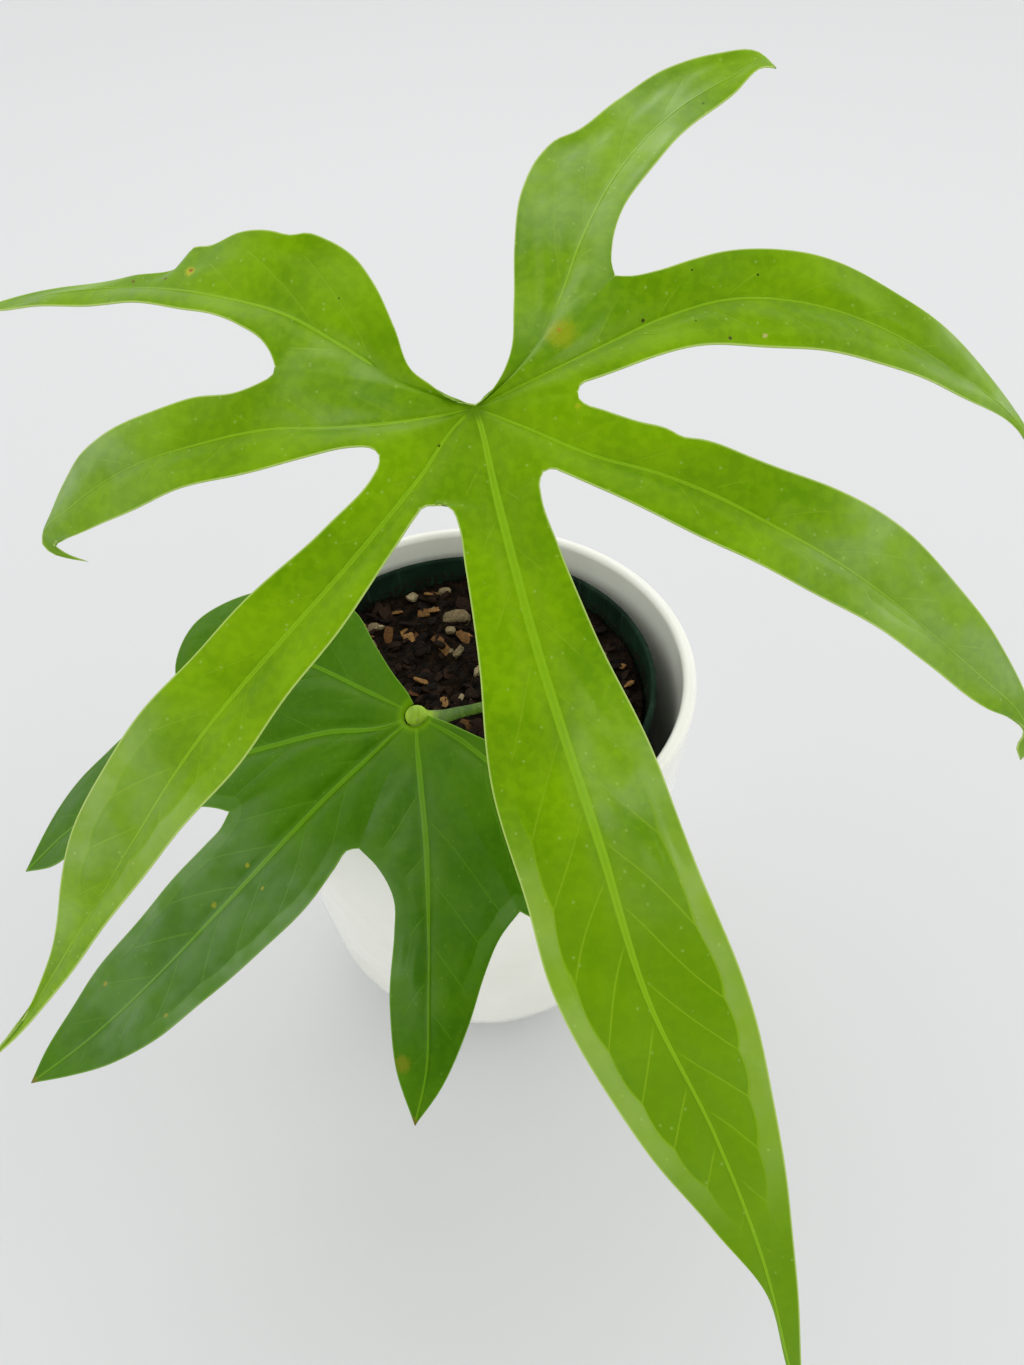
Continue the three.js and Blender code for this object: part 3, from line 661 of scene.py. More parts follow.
def makeLoosePieces(name, setting):
    # rounded blocks: a sphere's grid whose sines and cosines are raised to a small power, stretched to
    # length, width and height, roughened, turned, and laid on the mix
    rng = np.random.default_rng(setting["seed"])
    x, y, length, turn, tone = scattered(setting, rng)
    count = len(x)
    width = length * rng.uniform(*looseBlock["width"], count)
    thick = length * rng.uniform(*setting["flat"], count) * looseBlock["thinner"]
    lean = rng.normal(0, looseBlock["lean"], (2, count))
    rows, columns = looseBlock["rows"], looseBlock["columns"]
    latitude = np.linspace(-np.pi / 2, np.pi / 2, rows)[None, :, None]
    longitude = np.linspace(0, 2 * np.pi, columns, endpoint=False)[None, None, :]

    def blocky(wave):
        return np.sign(wave) * np.abs(wave) ** looseBlock["blunt"]

    rough = 1 + looseBlock["rough"] * rng.uniform(-1, 1, (count, rows, columns))
    rough[:, 0, :] = rough[:, -1, :] = 1
    ballX = blocky(np.cos(latitude)) * blocky(np.cos(longitude)) * rough * length[:, None, None] / 2
    ballY = blocky(np.cos(latitude)) * blocky(np.sin(longitude)) * rough * width[:, None, None] / 2
    ballZ = blocky(np.sin(latitude)) * rough * thick[:, None, None] / 2
    ballZ = ballZ + lean[0][:, None, None] * ballX + lean[1][:, None, None] * ballY
    cos, sin = np.cos(turn)[:, None, None], np.sin(turn)[:, None, None]
    rest = mix["top"] + mixHeight(x, y) + setting["raise"] * 0.5 * rng.random(count) + 0.1 * thick
    points = np.stack([x[:, None, None] + ballX * cos - ballY * sin,
                       y[:, None, None] + ballX * sin + ballY * cos,
                       rest[:, None, None] + ballZ], axis=-1)
    oneBlock = gridTriangles(rows, columns, wrap=True)
    triangles = (oneBlock[None] + (np.arange(count) * rows * columns)[:, None, None]).reshape(-1, 3)
    tones = np.repeat(tone, rows * columns)
    points, triangles, corners = welded(points.reshape(-1, 3), triangles)
    pair = np.stack([tones[corners], np.zeros(corners.shape)], axis=-1)
    piece = makePiece(name, points, triangles, [looseFinish(name, setting)], {"tone": pair}, sharpAngle=50)


# Stem and petioles

stem = {
    "foot": (16, 11),
    "radius": 4.4,
    "bottom": 92,
    "top": 124,
    "scars": (113.5, 118, 122.3),  # heights of the three leaf scars
    "scarRound": 0.5,
    "topRound": 0.4,
    "dome": 14,  # radius of the rounded top
    "sides": 64,
    "green": (112, 124, 62),
    "brown": (104, 78, 48),
    "scarBrown": (70, 50, 32),
}


def stemFinish():
    finish = Finish("stemSkin")
    rings = (finish.height() * 0.55 + finish.noise(3) * 0.9).nearest().below(0.04, 0.14)
    cloud = finish.noise(3.5, detail=4).above(0.4, 0.62)
    skin = finish.blend(colour(*stem["green"]), colour(*stem["brown"]), cloud)
    return finish.surface({
        "Base Color": finish.blend(skin, colour(*stem["scarBrown"]), rings * 0.8),
        "Roughness": 0.6 + cloud * 0.25,
        "Normal": finish.relief(finish.noise(0.8, detail=4) - rings, 0.3),
    })


def makeStem():
    # leaf scars as low rings on an upright stem, with a rounded top
    waist, ring, bottom = stem["radius"] - stem["scarRound"], stem["scarRound"], stem["bottom"]
    first, second, last = stem["scars"]
    profile = [
        [0, bottom],
        [waist - 1.2, bottom + 0.8],
        [waist, bottom + 4],
        [waist, first - 1.5],
        *arc(waist, first, ring, -90, 90, 6),
        [waist, first + 1.5],
        [waist - 0.1, second - 1],
        *arc(waist - 0.1, second, ring, -90, 90, 6),
        [waist - 0.2, second + 1.4],
        [waist - 0.2, last - 0.8],
        *arc(waist - 0.3, last, stem["topRound"], -90, 60, 5),
        *arc(0, stem["top"] - stem["dome"], stem["dome"], 72, 90, 4),
    ]
    points, triangles = turned(profile, stem["sides"], stem["foot"])
    piece = makePiece("plantStem", points, triangles, [stemFinish()], sharpAngle=60)
    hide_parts("stem")


# a route's points are x, y, height and radius; "swelling" is between which heights the stalk turns pale
petioles = {
    "upper_petiole": {
        "route": [(16, 11, 124.4, 3.3), (15.9, 10.6, 128, 2.9), (15.2, 5.5, 137, 2.3), (14, -5, 155, 1.9),
                  (12.2, -20, 184, 1.8), (10.4, -34, 213, 1.8), (9.4, -41.8, 228, 2.1), (9, -45.6, 235, 2.5),
                  (8.4, -49.3, 241.7, 2.6)],
        "colours": ((128, 160, 62), (158, 188, 84)),
        "swelling": (226, 244),
        "swollen": (158, 188, 84),
    },
    "lower_petiole": {
        "route": [(14, 6.5, 120, 2.2), (13.1, 4.4, 120.2, 2), (12, -3, 123, 1.7), (9.3, -14, 130, 1.45),
                  (3.7, -26.5, 141, 1.4), (-1.5, -37.5, 151.5, 1.5), (-5.4, -43.8, 157.2, 1.8),
                  (-8.6, -46.9, 160.3, 2.3), (-10, -48.2, 162.8, 2.6), (-10.7, -48.8, 165.3, 2.6)],
        "colours": ((66, 98, 22), (92, 126, 34)),
        "swelling": (158.5, 162.5),
        "swollen": (158, 196, 44),
    },
}
stalk = {
    "rings": 140,
    "sides": 40,
    "capLength": 0.9,  # of the rounded ends, in radii
    "grooveDepth": 0.14,  # of the radius
    "grooveWidth": 0.35,  # in radians
    "fleck": (186, 206, 122),
}


def petioleFinish(name, setting):
    finish = Finish(name + "Skin")
    low, high = setting["swelling"]
    swelling = finish.height().above(low, high)
    dark, light = (colour(*c) for c in setting["colours"])
    streaks = finish.noise(1.3, detail=3, stretch=(1, 0.25, 0.12)).above(0.35, 0.68)
    skin = finish.blend(dark, light, streaks * 0.7)
    skin = finish.blend(skin, colour(*setting["swollen"]), swelling * (0.6 + streaks * 0.4))
    flecks = finish.specks(1.6, 0.22)
    return finish.surface({
        "Base Color": finish.blend(skin, colour(*stalk["fleck"]), flecks * 0.5),
        "Roughness": 0.42 + streaks * 0.12,
        "Specular IOR Level": 0.3,
        "Normal": finish.relief(streaks + flecks * 0.6, 0.06),
    })


def makePetiole(node, setting):
    # a tube along a smooth curve: the radius runs with the curve, both ends are rounded off, and a shallow
    # groove follows the side that faces up
    route, length = smoothCurve(setting["route"], stalk["rings"])
    centre, radius = route[:, :3], route[:, 3]
    along = np.gradient(centre, axis=0)
    along /= np.linalg.norm(along, axis=1)[:, None]
    side = np.cross(along, (1.0, 0, 0))
    side /= np.linalg.norm(side, axis=1)[:, None]
    other = np.cross(along, side)
    travelled = np.linspace(0, length, len(route))
    toEnd = np.minimum(travelled, length - travelled)
    cap = np.clip(1 - toEnd / (stalk["capLength"] * radius), 0, 1)
    radius = radius * np.sqrt(1 - cap**2)
    angle = np.linspace(0, 2 * np.pi, stalk["sides"], endpoint=False)
    groove = 1 - stalk["grooveDepth"] * np.exp(-((angle - np.pi) / stalk["grooveWidth"]) ** 2)
    reach = radius[:, None] * groove[None, :]
    points = (centre[:, None] + (reach * np.cos(angle))[..., None] * side[:, None]
              + (reach * np.sin(angle))[..., None] * other[:, None]).reshape(-1, 3)
    points, triangles, _ = welded(points, gridTriangles(len(route), len(angle), wrap=True))
    pieceName = node.replace("_petiole", "Petiole")
    piece = makePiece(pieceName, points, triangles, [petioleFinish(pieceName, setting)])
    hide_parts(node)


makeMix()
for looseName, looseSetting in loosePieces.items():
    makeLoosePieces(looseName, looseSetting)
makeStem()
for petioleNode, petioleSetting in petioles.items():
    makePetiole(petioleNode, petioleSetting)
print("potting mix, stem and petioles made")


# Leaf blades. A point is (across, along, up) in the blade's own frame, as in the part's source. "backStarts"
# are where the outer margins of the first and last lobe begin, "sinuses" the bottoms of the gaps between
# neighbouring lobes and "seamBends" the middles of the seams that aren't straight. A lobe is its rib, its
# tip and the free margins on its two sides; "roll" lifts or lowers the middle of each.

upperLeaf = {
    "node": "upper_leaf",
    "slot": "young_blade",
    "origin": (8, -49.5, 243.7),
    "tilt": 36,
    "heading": -5,
    "foldHeight": 2.4,  # how far the margins stand above the rib
    "waveHeight": 0.7,
    "collar": 0,  # radius of the opening for the stalk's knob
    "backStarts": [(0, -0.7), (0, -0.7)],
    "sinuses": [(23.8, -23), (17.8, -1.9), (12.2, 12.3), (-6.2, 18.4), (-16, 9.6), (-35.2, -6.6)],
    "seamBends": {0: (9.5, -6.3)},
    "lobes": [
        {
            "rib": [(4.5, -3.8, 0.5), (9, -9, 1), (13.5, -17.5, 1), (18, -31, 1), (24, -44, 0),
                    (34, -57, -2), (44, -65, -4), (51, -69, -5)],
            "tip": (53.4, -69, -6.5),
            "roll": (-4, 0),
            "first": [(2, -1.9), (3.3, -3.5), (4.7, -5.9), (5.8, -9), (6.2, -19), (6, -30), (7, -41),
                      (10, -49), (12.6, -52), (16.5, -53.7), (24, -60.2), (32.4, -67.5), (42.7, -70.9),
                      (50, -71)],
            "second": [(23.2, -25), (23.2, -28), (25, -36), (31.3, -45.7), (38, -55), (45.2, -61.7),
                       (51, -67.9)],
        },
        {
            "rib": [(10, -4.7, 1), (22, -11, 1), (32, -16, 1), (45, -20, 0), (58, -20, -2), (70, -17, -4),
                    (84, -11, -8), (98, -2, -13), (103.5, 5, -17.5), (105, 11, -22)],
            "tip": (105, 16, -26),
            "first": [(26, -22.8), (31, -23.8), (37, -26.2), (42, -28), (54, -28.8), (66, -27),
                      (76.7, -21.6), (88.7, -13.6), (99.3, -2.5), (105, 5), (107, 12)],
            "second": [(18.2, -3.2), (19.8, -3.9), (21.5, -4.5), (30, -7.6), (41, -10.5), (54, -10.6),
                       (68, -10.3), (83.6, -6.3), (96.8, -1.8), (101.3, 3), (101.9, 9), (102.3, 12)],
        },
        {
            "rib": [(9, 4, 1), (21, 9, 1), (32, 12, 1), (42, 16, 1), (52, 21, 0), (64, 27, -3),
                    (76, 35, -6), (88, 44, -10), (97, 50.5, -15), (99.8, 54, -18.5)],
            "tip": (99.4, 57.6, -22),
            "first": [(18, -0.6), (19, 0.3), (21.8, 1.3), (28, 3.4), (33, 4.8), (35.5, 6.3), (38.5, 6.8),
                      (46.8, 9.5), (61, 14.2), (75, 20.8), (84.4, 30.5), (91, 37.4), (97.7, 47), (101, 53),
                      (100.6, 56)],
            "second": [(13.5, 11.7), (15.5, 12.4), (17.9, 13.5), (32, 20.2), (47, 27.2), (63.5, 34.1),
                       (78.8, 42.7), (90.3, 49.6), (95.1, 50.8), (98.5, 53), (98, 55.4)],
        },
        {
            "rib": [(1, 3, 0), (4, 15, 1), (12, 43, 1), (23, 75, -1), (31, 99, -4), (43, 122, -10),
                    (52, 144, -16), (57, 162, -22)],
            "tip": (61, 176, -28),
            "first": [(11.7, 13.6), (12, 16.5), (15, 25), (21, 39), (31.8, 60.5), (38.8, 78.1), (46, 94),
                      (51, 110), (54.6, 127), (57.3, 144), (59.3, 162)],
            "second": [(-4.6, 18.2), (-3, 19.2), (-2, 21.5), (-0.5, 28.9), (2.4, 45.9), (5, 66), (11, 84),
                       (14.8, 96.7), (20.5, 108), (31.5, 124.4), (43, 137.8), (52.6, 149.2), (56.6, 162)],
        },
        {
            "rib": [(-3, 3, 0), (-9, 13, 1), (-21, 29, 1), (-33, 43, 0), (-46, 59, -2), (-59, 78, -7),
                    (-70, 94, -13), (-80, 108, -18)],
            "tip": (-90, 119, -22),
            "first": [(-7.8, 18.6), (-9.2, 20.5), (-11.9, 25.1), (-19.4, 37.4), (-28, 49), (-38.3, 63.2),
                      (-52.5, 78.7), (-63.8, 91.9), (-73, 102.7), (-82.2, 112.6)],
            "second": [(-15.9, 11.2), (-16.7, 13.2), (-24.5, 22.5), (-33.3, 30.8), (-44.5, 42.3), (-56, 55),
                       (-66.2, 69), (-71.9, 83.9), (-75.2, 98), (-82.5, 111.2)],
        },
        {
            "rib": [(-4, 1, 0), (-13, 3, 1), (-24, 4, 1), (-36, 4, 0), (-49, 6, -2), (-63, 9.5, -5),
                    (-75, 15.5, -9), (-82.5, 20.6, -14), (-81, 22.5, -16)],
            "tip": (-76, 23.6, -19),
            "first": [(-16.8, 8.6), (-18.5, 8.2), (-20.5, 8.3), (-29, 10.2), (-42, 12.6), (-56, 15.3),
                      (-68, 18.9), (-74.5, 20.6), (-79, 21), (-81.2, 21.3), (-80.2, 22.1)],
            "second": [(-35.6, -5), (-37, -4.2), (-41.8, -2.4), (-51.1, -2.2), (-60, 0.3), (-69, 3.9),
                       (-73.5, 6.5), (-77.8, 11.5), (-81, 17), (-82.9, 19.6), (-83.4, 21.2), (-82.2, 22.7),
                       (-79.5, 23.4)],
        },
        {
            "rib": [(-6, -1.8, 0.6), (-14, -5, 1), (-24, -11, 1), (-35, -17, 1), (-48, -21, 0),
                    (-61, -24, -3), (-80, -26, -8), (-96, -26, -14)],
            "tip": (-104, -27, -17),
            "roll": (0, -2),
            "first": [(-35.8, -8.4), (-37.5, -11), (-42, -14), (-48, -16.8), (-54.3, -18.4), (-62, -20.2),
                      (-69.8, -21.4), (-86, -23.7), (-97, -25.5)],
            "second": [(-3.6, -0.9), (-8, -3.8), (-10.8, -5.8), (-14.4, -13.8), (-18.3, -21.8),
                       (-23.4, -28.4), (-27.5, -31), (-31, -32.2), (-34, -31.7), (-38, -32.6), (-44, -33),
                       (-49.7, -31.8), (-53.8, -31.8), (-55, -29.5), (-66, -27.6), (-82, -28.2),
                       (-96, -27.6)],
        },
    ],
    # for each lobe: half width of the midrib, where it begins to show, and how clear the collective vein is
    # that runs inside the margin
    "ribWidths": (0.3, 0.3, 0.34, 0.85, 0.45, 0.32, 0.32),
    "ribBegins": (16, 0, 0, 0, 0, 0, 14),
    "creases": (0.1, 0.3, 0.3, 1, 0.6, 0.3, 0.1),
    # lobe, between which shares of its length it shines, and how much on its two sides
    "shines": [(0, 0.12, 0.82, 0.65, 0.65), (1, 0.68, 1, 0.6, 0.6), (2, 0.5, 1.1, 0.9, 0.5),
               (3, 0.3, 0.45, 0.9, 0), (4, 0.5, 0.9, 0.25, 0.65), (5, 0.08, 0.36, 0, 0.9),
               (5, 0.62, 0.95, 0.3, 1), (6, 0.12, 0.32, 0.7, 0), (1, 0.12, 0.24, 0.7, 0)],
    "paintedShadeEnds": {3: 0.7},  # lobes whose outer part is darkened with painted shade, and how much
    "creaseBegins": 66,  # distance along the rib from which the collective vein shows
    "veinSpacing": 12.5,
    "veinLean": 1.7,  # how far a lateral vein runs on along the rib for each millimetre across
    "collective": 3.4,  # distance of the collective vein from the margin
    # the strip colour is partly the blade's own paler margin outside the collective vein, partly painted
    # sheen
    "colours": {
        "deep": (87, 138, 2), "bright": (123, 171, 2), "rib": (136, 188, 28), "vein": (134, 178, 24),
        "edge": (190, 214, 122), "paleStripAndSheen": (138, 176, 48), "heart": (72, 118, 4),
        "below": (128, 164, 66), "belowVein": (164, 194, 100),
    },
    "heart": (1.0, 3.2, 15),  # radius of the dark middle, where it has faded, and reach of a fainter shade
    "sheen": (1.0, 1.0, 0.08),  # tint of the reflection
    # across, along, radius, colour; the halos come first
    "spots": [
        (14.6, -12.6, 3.4, (140, 160, 4)), (-53.2, -26.6, 1.3, (172, 176, 20)),
        (17.8, 0.7, 0.7, (150, 172, 16)), (14.3, -13.1, 0.55, (160, 134, 8)),
        (-53, -26.8, 0.55, (150, 84, 20)), (-58.1, -25.7, 0.35, (84, 60, 14)),
        (-64.8, -26, 0.4, (96, 70, 20)), (49.6, -12.7, 0.55, (188, 180, 112)),
        (28.8, -15.5, 0.42, (22, 30, 4)), (37, -24.2, 0.28, (30, 44, 4)),
        (48.6, -24.2, 0.3, (30, 44, 4)), (37.7, -14.8, 0.24, (44, 62, 4)),
        (43.6, -11.9, 0.4, (56, 60, 40)), (-6, 7.1, 0.3, (44, 70, 4)),
        (39.5, -59.3, 0.3, (40, 56, 4)), (-24.6, -19.4, 0.28, (44, 60, 4)),
    ],
}
lowerLeaf = {
    "node": "lower_leaf",
    "slot": "old_blade",
    "origin": (-10.2, -48.3, 163.5),
    "tilt": 20,
    "heading": -44,
    "foldHeight": 2,
    "waveHeight": 0.6,
    "collar": 3,
    "backStarts": [(2.6, -1.5), (-2.4, -1.8)],
    "sinuses": [(50, 21), (12.2, 31.5), (-20.6, 43.6), (-40, 23)],
    "seamBends": {},
    "lobes": [
        {
            "rib": [(13, -1, 0), (28, 0, 1), (44, 1, 1), (58, 3, -1)],
            "tip": (75, 9, -9),
            "first": [(8, -2.4), (19, -4), (34, -8), (49, -8), (61, -4), (70, 3)],
            "second": [(55, 20), (63, 17), (70, 13)],
        },
        {
            "rib": [(4, 4, 0), (13, 12, 1), (25, 23, 1), (36, 35, 0), (46, 47, -2), (53, 57, -5)],
            "tip": (56.6, 66, -8),
            "first": [(49.8, 27.1), (51.5, 35.1), (54.6, 45.3), (57.1, 58)],
            "second": [(19, 32.2), (26.7, 35.5), (31.1, 40.3), (39, 51.9), (47, 60)],
        },
        {
            "rib": [(-1, 6, 0), (-2, 17, 1), (-4, 37, 1), (-6, 59, 0), (-9, 82, -2), (-14, 101, -5)],
            "tip": (-20, 116, -8),
            "first": [(10.5, 33), (10.8, 38), (11.2, 48), (9, 63), (4.8, 77), (1.6, 89), (-4.3, 98.9),
                      (-12.6, 108.7)],
            "second": [(-19.5, 47.5), (-19.8, 52), (-20.9, 65), (-22.3, 79.3), (-22.5, 94), (-22, 107.5)],
        },
        {
            "rib": [(-3, 5, 0), (-15, 16, 1), (-28, 30, 1), (-41, 44, 0), (-52, 59, -2), (-59, 74, -5)],
            "tip": (-63, 87, -8),
            "first": [(-24, 44.8), (-30, 48), (-42, 57), (-50, 69), (-55.1, 80.3)],
            "second": [(-50, 33), (-61.5, 42.5), (-64, 55), (-66.1, 71.2)],
        },
        {
            "rib": [(-14, 2, 0), (-37, 6, 1), (-54, 12, 0), (-63, 21, -2)],
            "tip": (-61, 31, -6),
            "first": [(-46, 26), (-54, 29)],
            "second": [(-4.5, -2.8), (-10.6, -4.5), (-20.4, -7.9), (-31.7, -12.1), (-44, -11), (-56, -6),
                       (-66.3, 5), (-70.3, 15), (-68.3, 25)],
        },
    ],
    "ribWidths": (0.55, 0.75, 0.7, 0.75, 0.55),
    "ribBegins": (0, 0, 0, 0, 0),
    "creases": (0.4, 0.4, 0.6, 0.5, 0.4),
    "shines": [(1, 0.15, 0.8, 0.1, 0.4), (2, 0.35, 0.88, 0.5, 0.5), (3, 0.6, 0.9, 0.2, 0.2)],
    "paintedShadeEnds": {},
    "creaseBegins": 30,
    "veinSpacing": 13,
    "veinLean": 1.5,
    "collective": 3.2,
    # the strip colour is partly the blade's own paler margin outside the collective vein, partly painted
    # sheen
    "colours": {
        "deep": (44, 95, 2), "bright": (68, 117, 3), "rib": (98, 150, 14), "vein": (82, 134, 14),
        "edge": (120, 160, 60), "paleStripAndSheen": (78, 130, 20), "heart": (112, 158, 6),
        "below": (96, 136, 58), "belowVein": (136, 170, 84),
    },
    "heart": (3.0, 5.5, 14),
    "sheen": (0.6, 1.0, 0.08),
    "spots": [
        (48, 58.7, 2.2, (104, 116, 16)), (-19.2, 116, 2.4, (120, 108, 30)), (56.2, 66.1, 1.6, (112, 96, 30)),
        (-7.6, 49.7, 0.7, (140, 144, 12)), (-0.6, 51.2, 0.6, (136, 138, 14)),
        (-8.1, 60.8, 0.8, (132, 140, 12)), (-18.3, 89.1, 0.7, (138, 132, 16)),
        (-0.1, 84.1, 0.6, (128, 130, 14)),
    ],
}
blade = {
    "rowStep": 6,  # spacing of the rows in the part's source
    "finer": 5,  # rows here for each of those
    "columns": 22,
    "thickness": 0.7,
    "edgeThickness": 0.35,
    "foldExponent": 0.6,
    "seamFoldShare": 0.7,
    "waveLength": 26,
    "stepFade": 8,
    "crowding": 0.13,  # how much closer the columns lie at the rib and at the margin
    "netShift": 300,  # moves the net of random heights
    "ribRidge": 0.4,
    "ribKeel": 1.0,  # of the midrib below the blade
    "veinKeel": 0.2,  # of a lateral vein there
    "quilt": 0.35,  # height of the cushions between the laterals
    "crease": 0.45,  # depth of the crease at the collective vein
    "creaseWidth": 0.9,
    "uneven": 0.35,  # height of the slow unevenness, and the size of its lumps
    "unevenSize": 15,
    "veinBend": 0.012,
    "veinWander": 0.12,  # how far a lateral strays, as a share of their spacing, and over which length
    "wanderSize": 17,
    "sideShift": 0.45,  # how far the laterals of one side and of the next lobe are set on, as such shares
    "lobeShift": 0.31,
    "collectiveBow": 0.6,  # how far the collective vein bows in where a lateral meets it
    "rimWidth": 2.5,  # within this of the margin the relief ends and the blade thins
}
# between which two values something grows from nothing to full: millimetres, or shares of a lobe's length
fades = {
    "collectiveToTip": (0, 25),
    "creaseBegins": (0, 25),
    "creaseEnds": (0.66, 0.8),  # share
    "veinOffSeam": (0.5, 5),
    "veinPastWeb": (0, 8),
    "veinFromApex": (5, 18),
    "veinOffRib": (0.4, 2),
    "veinToTip": (3, 22),
    "veinInside": (-0.4, 0.2),
    "ribBegins": (0, 8),
    "ribWidens": (0, 0.15),  # share
    "ribNarrows": (0.35, 0.68),  # share
    "paintedShadeEnd": (0.45, 0.9),  # share, over which a lobe's painted shade grows in
    "shineOffRib": (0, 3),
    "shineBegins": (-0.08, 0.1),  # share
    "shineEnds": (-0.1, 0.08),  # share
    "ridgeFromApex": (0, 6),
    "ridgeOffSeam": (0, 2),
    "cushionInside": (0, 2),
    "cushionOffRib": (0.8, 4),
    "reliefFromApex": (0, 12),
    "reliefToTip": (0, 14),
    "keelFromApex": (0, 3),
    "keelOffSeam": (0, 1.5),
}


def fade(name, value):
    return smoothStep(value, *fades[name])


def leafFrame(leaf):
    # across, along and up of the blade as the rows of a matrix
    dip, turn = np.radians([leaf["tilt"], leaf["heading"]])
    return np.array([
        [np.cos(turn), np.sin(turn), 0],
        [np.cos(dip) * np.sin(turn), -np.cos(dip) * np.cos(turn), -np.sin(dip)],
        [np.sin(dip) * np.sin(turn), -np.sin(dip) * np.cos(turn), np.cos(dip)],
    ])


def onCollar(leaf, x, y):
    # the point of the opening's edge that lies towards another point
    share = leaf["collar"] / np.hypot(x, y)
    return x * share, y * share


def leafRibs(leaf):
    # rows along every lobe's rib, and the row at which each sinus ends the web that two lobes share
    finer, rowStep = blade["finer"], blade["rowStep"]
    webRows = [finer * max(2, round(np.hypot(*sinus) / rowStep)) for sinus in leaf["sinuses"]]
    ribs = []
    for lobe in leaf["lobes"]:
        through = [(*onCollar(leaf, *lobe["rib"][0][:2]), 0), *lobe["rib"], lobe["tip"]]
        rows = finer * round(smoothCurve(through, 2)[1] / rowStep)
        ribs.append(smoothCurve(through, rows + 1)[0])
    return ribs, webRows


def leafMargin(leaf, ribs, webRows, number, side):
    # one margin of a lobe: with its neighbour along the seam to the sinus, then free to the tip. Its lift
    # is the rib's plus a fold that swells and sinks along the lobe, a wave, and a roll at its middle
    lobe, rib = leaf["lobes"][number], ribs[number]
    last = len(rib) - 1
    row = np.arange(last + 1)
    sinusNumber = number - 1 + side
    hasWeb = 0 <= sinusNumber < len(leaf["sinuses"])
    web = webRows[sinusNumber] if hasWeb else 0
    sinus = np.array(leaf["sinuses"][sinusNumber] if hasWeb else leaf["backStarts"][side], float)
    start = np.array(onCollar(leaf, *sinus))
    bend = np.array(leaf["seamBends"].get(sinusNumber, (start + sinus) / 2))
    other = ribs[number - 1 + 2 * side] if hasWeb else rib
    seamShare = np.minimum(row, web) / max(web, 1)
    share = seamShare[:web, None]
    seam = (1 - share) ** 2 * start + 2 * share * (1 - share) * bend + share**2 * sinus
    free = smoothCurve([sinus, *lobe["second" if side else "first"], lobe["tip"][:2]], last - web + 1)[0]
    outline = np.concatenate([seam, free])
    fold = leaf["foldHeight"] * np.sin(np.pi * (row / last) ** blade["foldExponent"])
    shared = np.minimum(row, web)
    seamFold = blade["seamFoldShare"] * leaf["foldHeight"] * np.sin(np.pi / 2 * seamShare)
    seamLift = (rib[shared, 2] + other[shared, 2]) / 2 + seamFold
    step = seamLift[web] - rib[web, 2] - fold[web]
    past = np.maximum(row - web, 0) * blade["rowStep"] / blade["finer"]
    calm = np.sin(np.pi * np.maximum(row - web, 0) / (last - web))
    roll = lobe.get("roll", (0, 0))[side]
    wave = leaf["waveHeight"] * np.sin(2 * np.pi * past / blade["waveLength"] + number + 2 * side)
    stepped = step * np.exp(-past / blade["stepFade"])
    freeLift = rib[:, 2] + fold + stepped + (wave + roll) * calm
    lift = np.where(row <= web, seamLift, freeLift)
    return np.column_stack([outline, lift]), web


def distanceTo(outline, x, y):
    # distance of every point to the nearest of the outline's points, a few thousand at a time
    batch = 4000
    flatX, flatY = x.ravel(), y.ravel()
    parts = [np.sqrt(((flatX[i:i + batch, None] - outline[:, 0]) ** 2
                      + (flatY[i:i + batch, None] - outline[:, 1]) ** 2).min(axis=1))
             for i in range(0, len(flatX), batch)]
    return np.concatenate(parts).reshape(x.shape)


def halfLobes(leaf):
    # for each side of each lobe a grid of rows from rib to margin: x and y run straight across, the lift
    # follows a quarter sine. With it come the numbers that relief and colour are worked out from.
    ribs, webRows = leafRibs(leaf)
    share = np.linspace(0, 1, blade["columns"] + 1)
    share = share - blade["crowding"] * np.sin(2 * np.pi * share)
    halves, outline = [], []
    for number, rib in enumerate(ribs):
        for side in (0, 1):
            margin, web = leafMargin(leaf, ribs, webRows, number, side)
            offset = margin[:, None, :2] - rib[:, None, :2]
            flat = rib[:, None, :2] + offset * share[None, :, None]
            lift = rib[:, None, 2] + (margin[:, 2] - rib[:, 2])[:, None] * np.sin(np.pi / 2 * share)
            width = np.linalg.norm(offset, axis=-1)
            travelled = np.arange(len(rib)) * blade["rowStep"] / blade["finer"]
            halves.append({
                "x": flat[..., 0], "y": flat[..., 1], "lift": lift,
                "fromRib": width * share, "toSide": width * (1 - share),
                "travelled": np.broadcast_to(travelled[:, None], lift.shape),
                "length": travelled[-1], "number": number, "side": side, "web": web,
            })
            outline.append(margin[web:, :2])
    outline = np.concatenate(outline)
    for half in halves:
        half["toMargin"] = distanceTo(outline, half["x"], half["y"])
        half["toMargin"][half["web"]:, -1] = 0
    return halves


def addVeins(leaf, half):
    # the phase is whole where a lateral vein runs; the veins lean forward and end at the collective vein,
    # which follows the margin inside it and bows in where each lateral meets it
    s, d, number = half["travelled"], half["fromRib"], half["number"]
    toTip = half["length"] - s
    wander = blade["veinWander"] * softNoise(half["x"], half["y"], blade["wanderSize"], 4, blade["netShift"])
    phase = (s - leaf["veinLean"] * d - blade["veinBend"] * d**2) / leaf["veinSpacing"]
    half["phase"] = phase + blade["sideShift"] * half["side"] + blade["lobeShift"] * number + wander
    half["near"] = np.abs(half["phase"] - np.round(half["phase"]))
    offset = leaf["collective"] + blade["collectiveBow"] * (1 - 2 * half["near"]) ** 2
    half["toCollective"] = half["toMargin"] - offset * fade("collectiveToTip", toTip)
    webEnd = half["web"] * blade["rowStep"] / blade["finer"]
    offSeam = np.clip(fade("veinOffSeam", half["toSide"]) + fade("veinPastWeb", s - webEnd), 0, 1)
    half["strength"] = (offSeam * fade("veinFromApex", s) * fade("veinOffRib", d)
                        * fade("veinToTip", toTip) * fade("veinInside", half["toCollective"]))
    half["creaseShown"] = (leaf["creases"][number] * fade("creaseBegins", s - leaf["creaseBegins"])
                           * (1 - fade("creaseEnds", s / half["length"])))


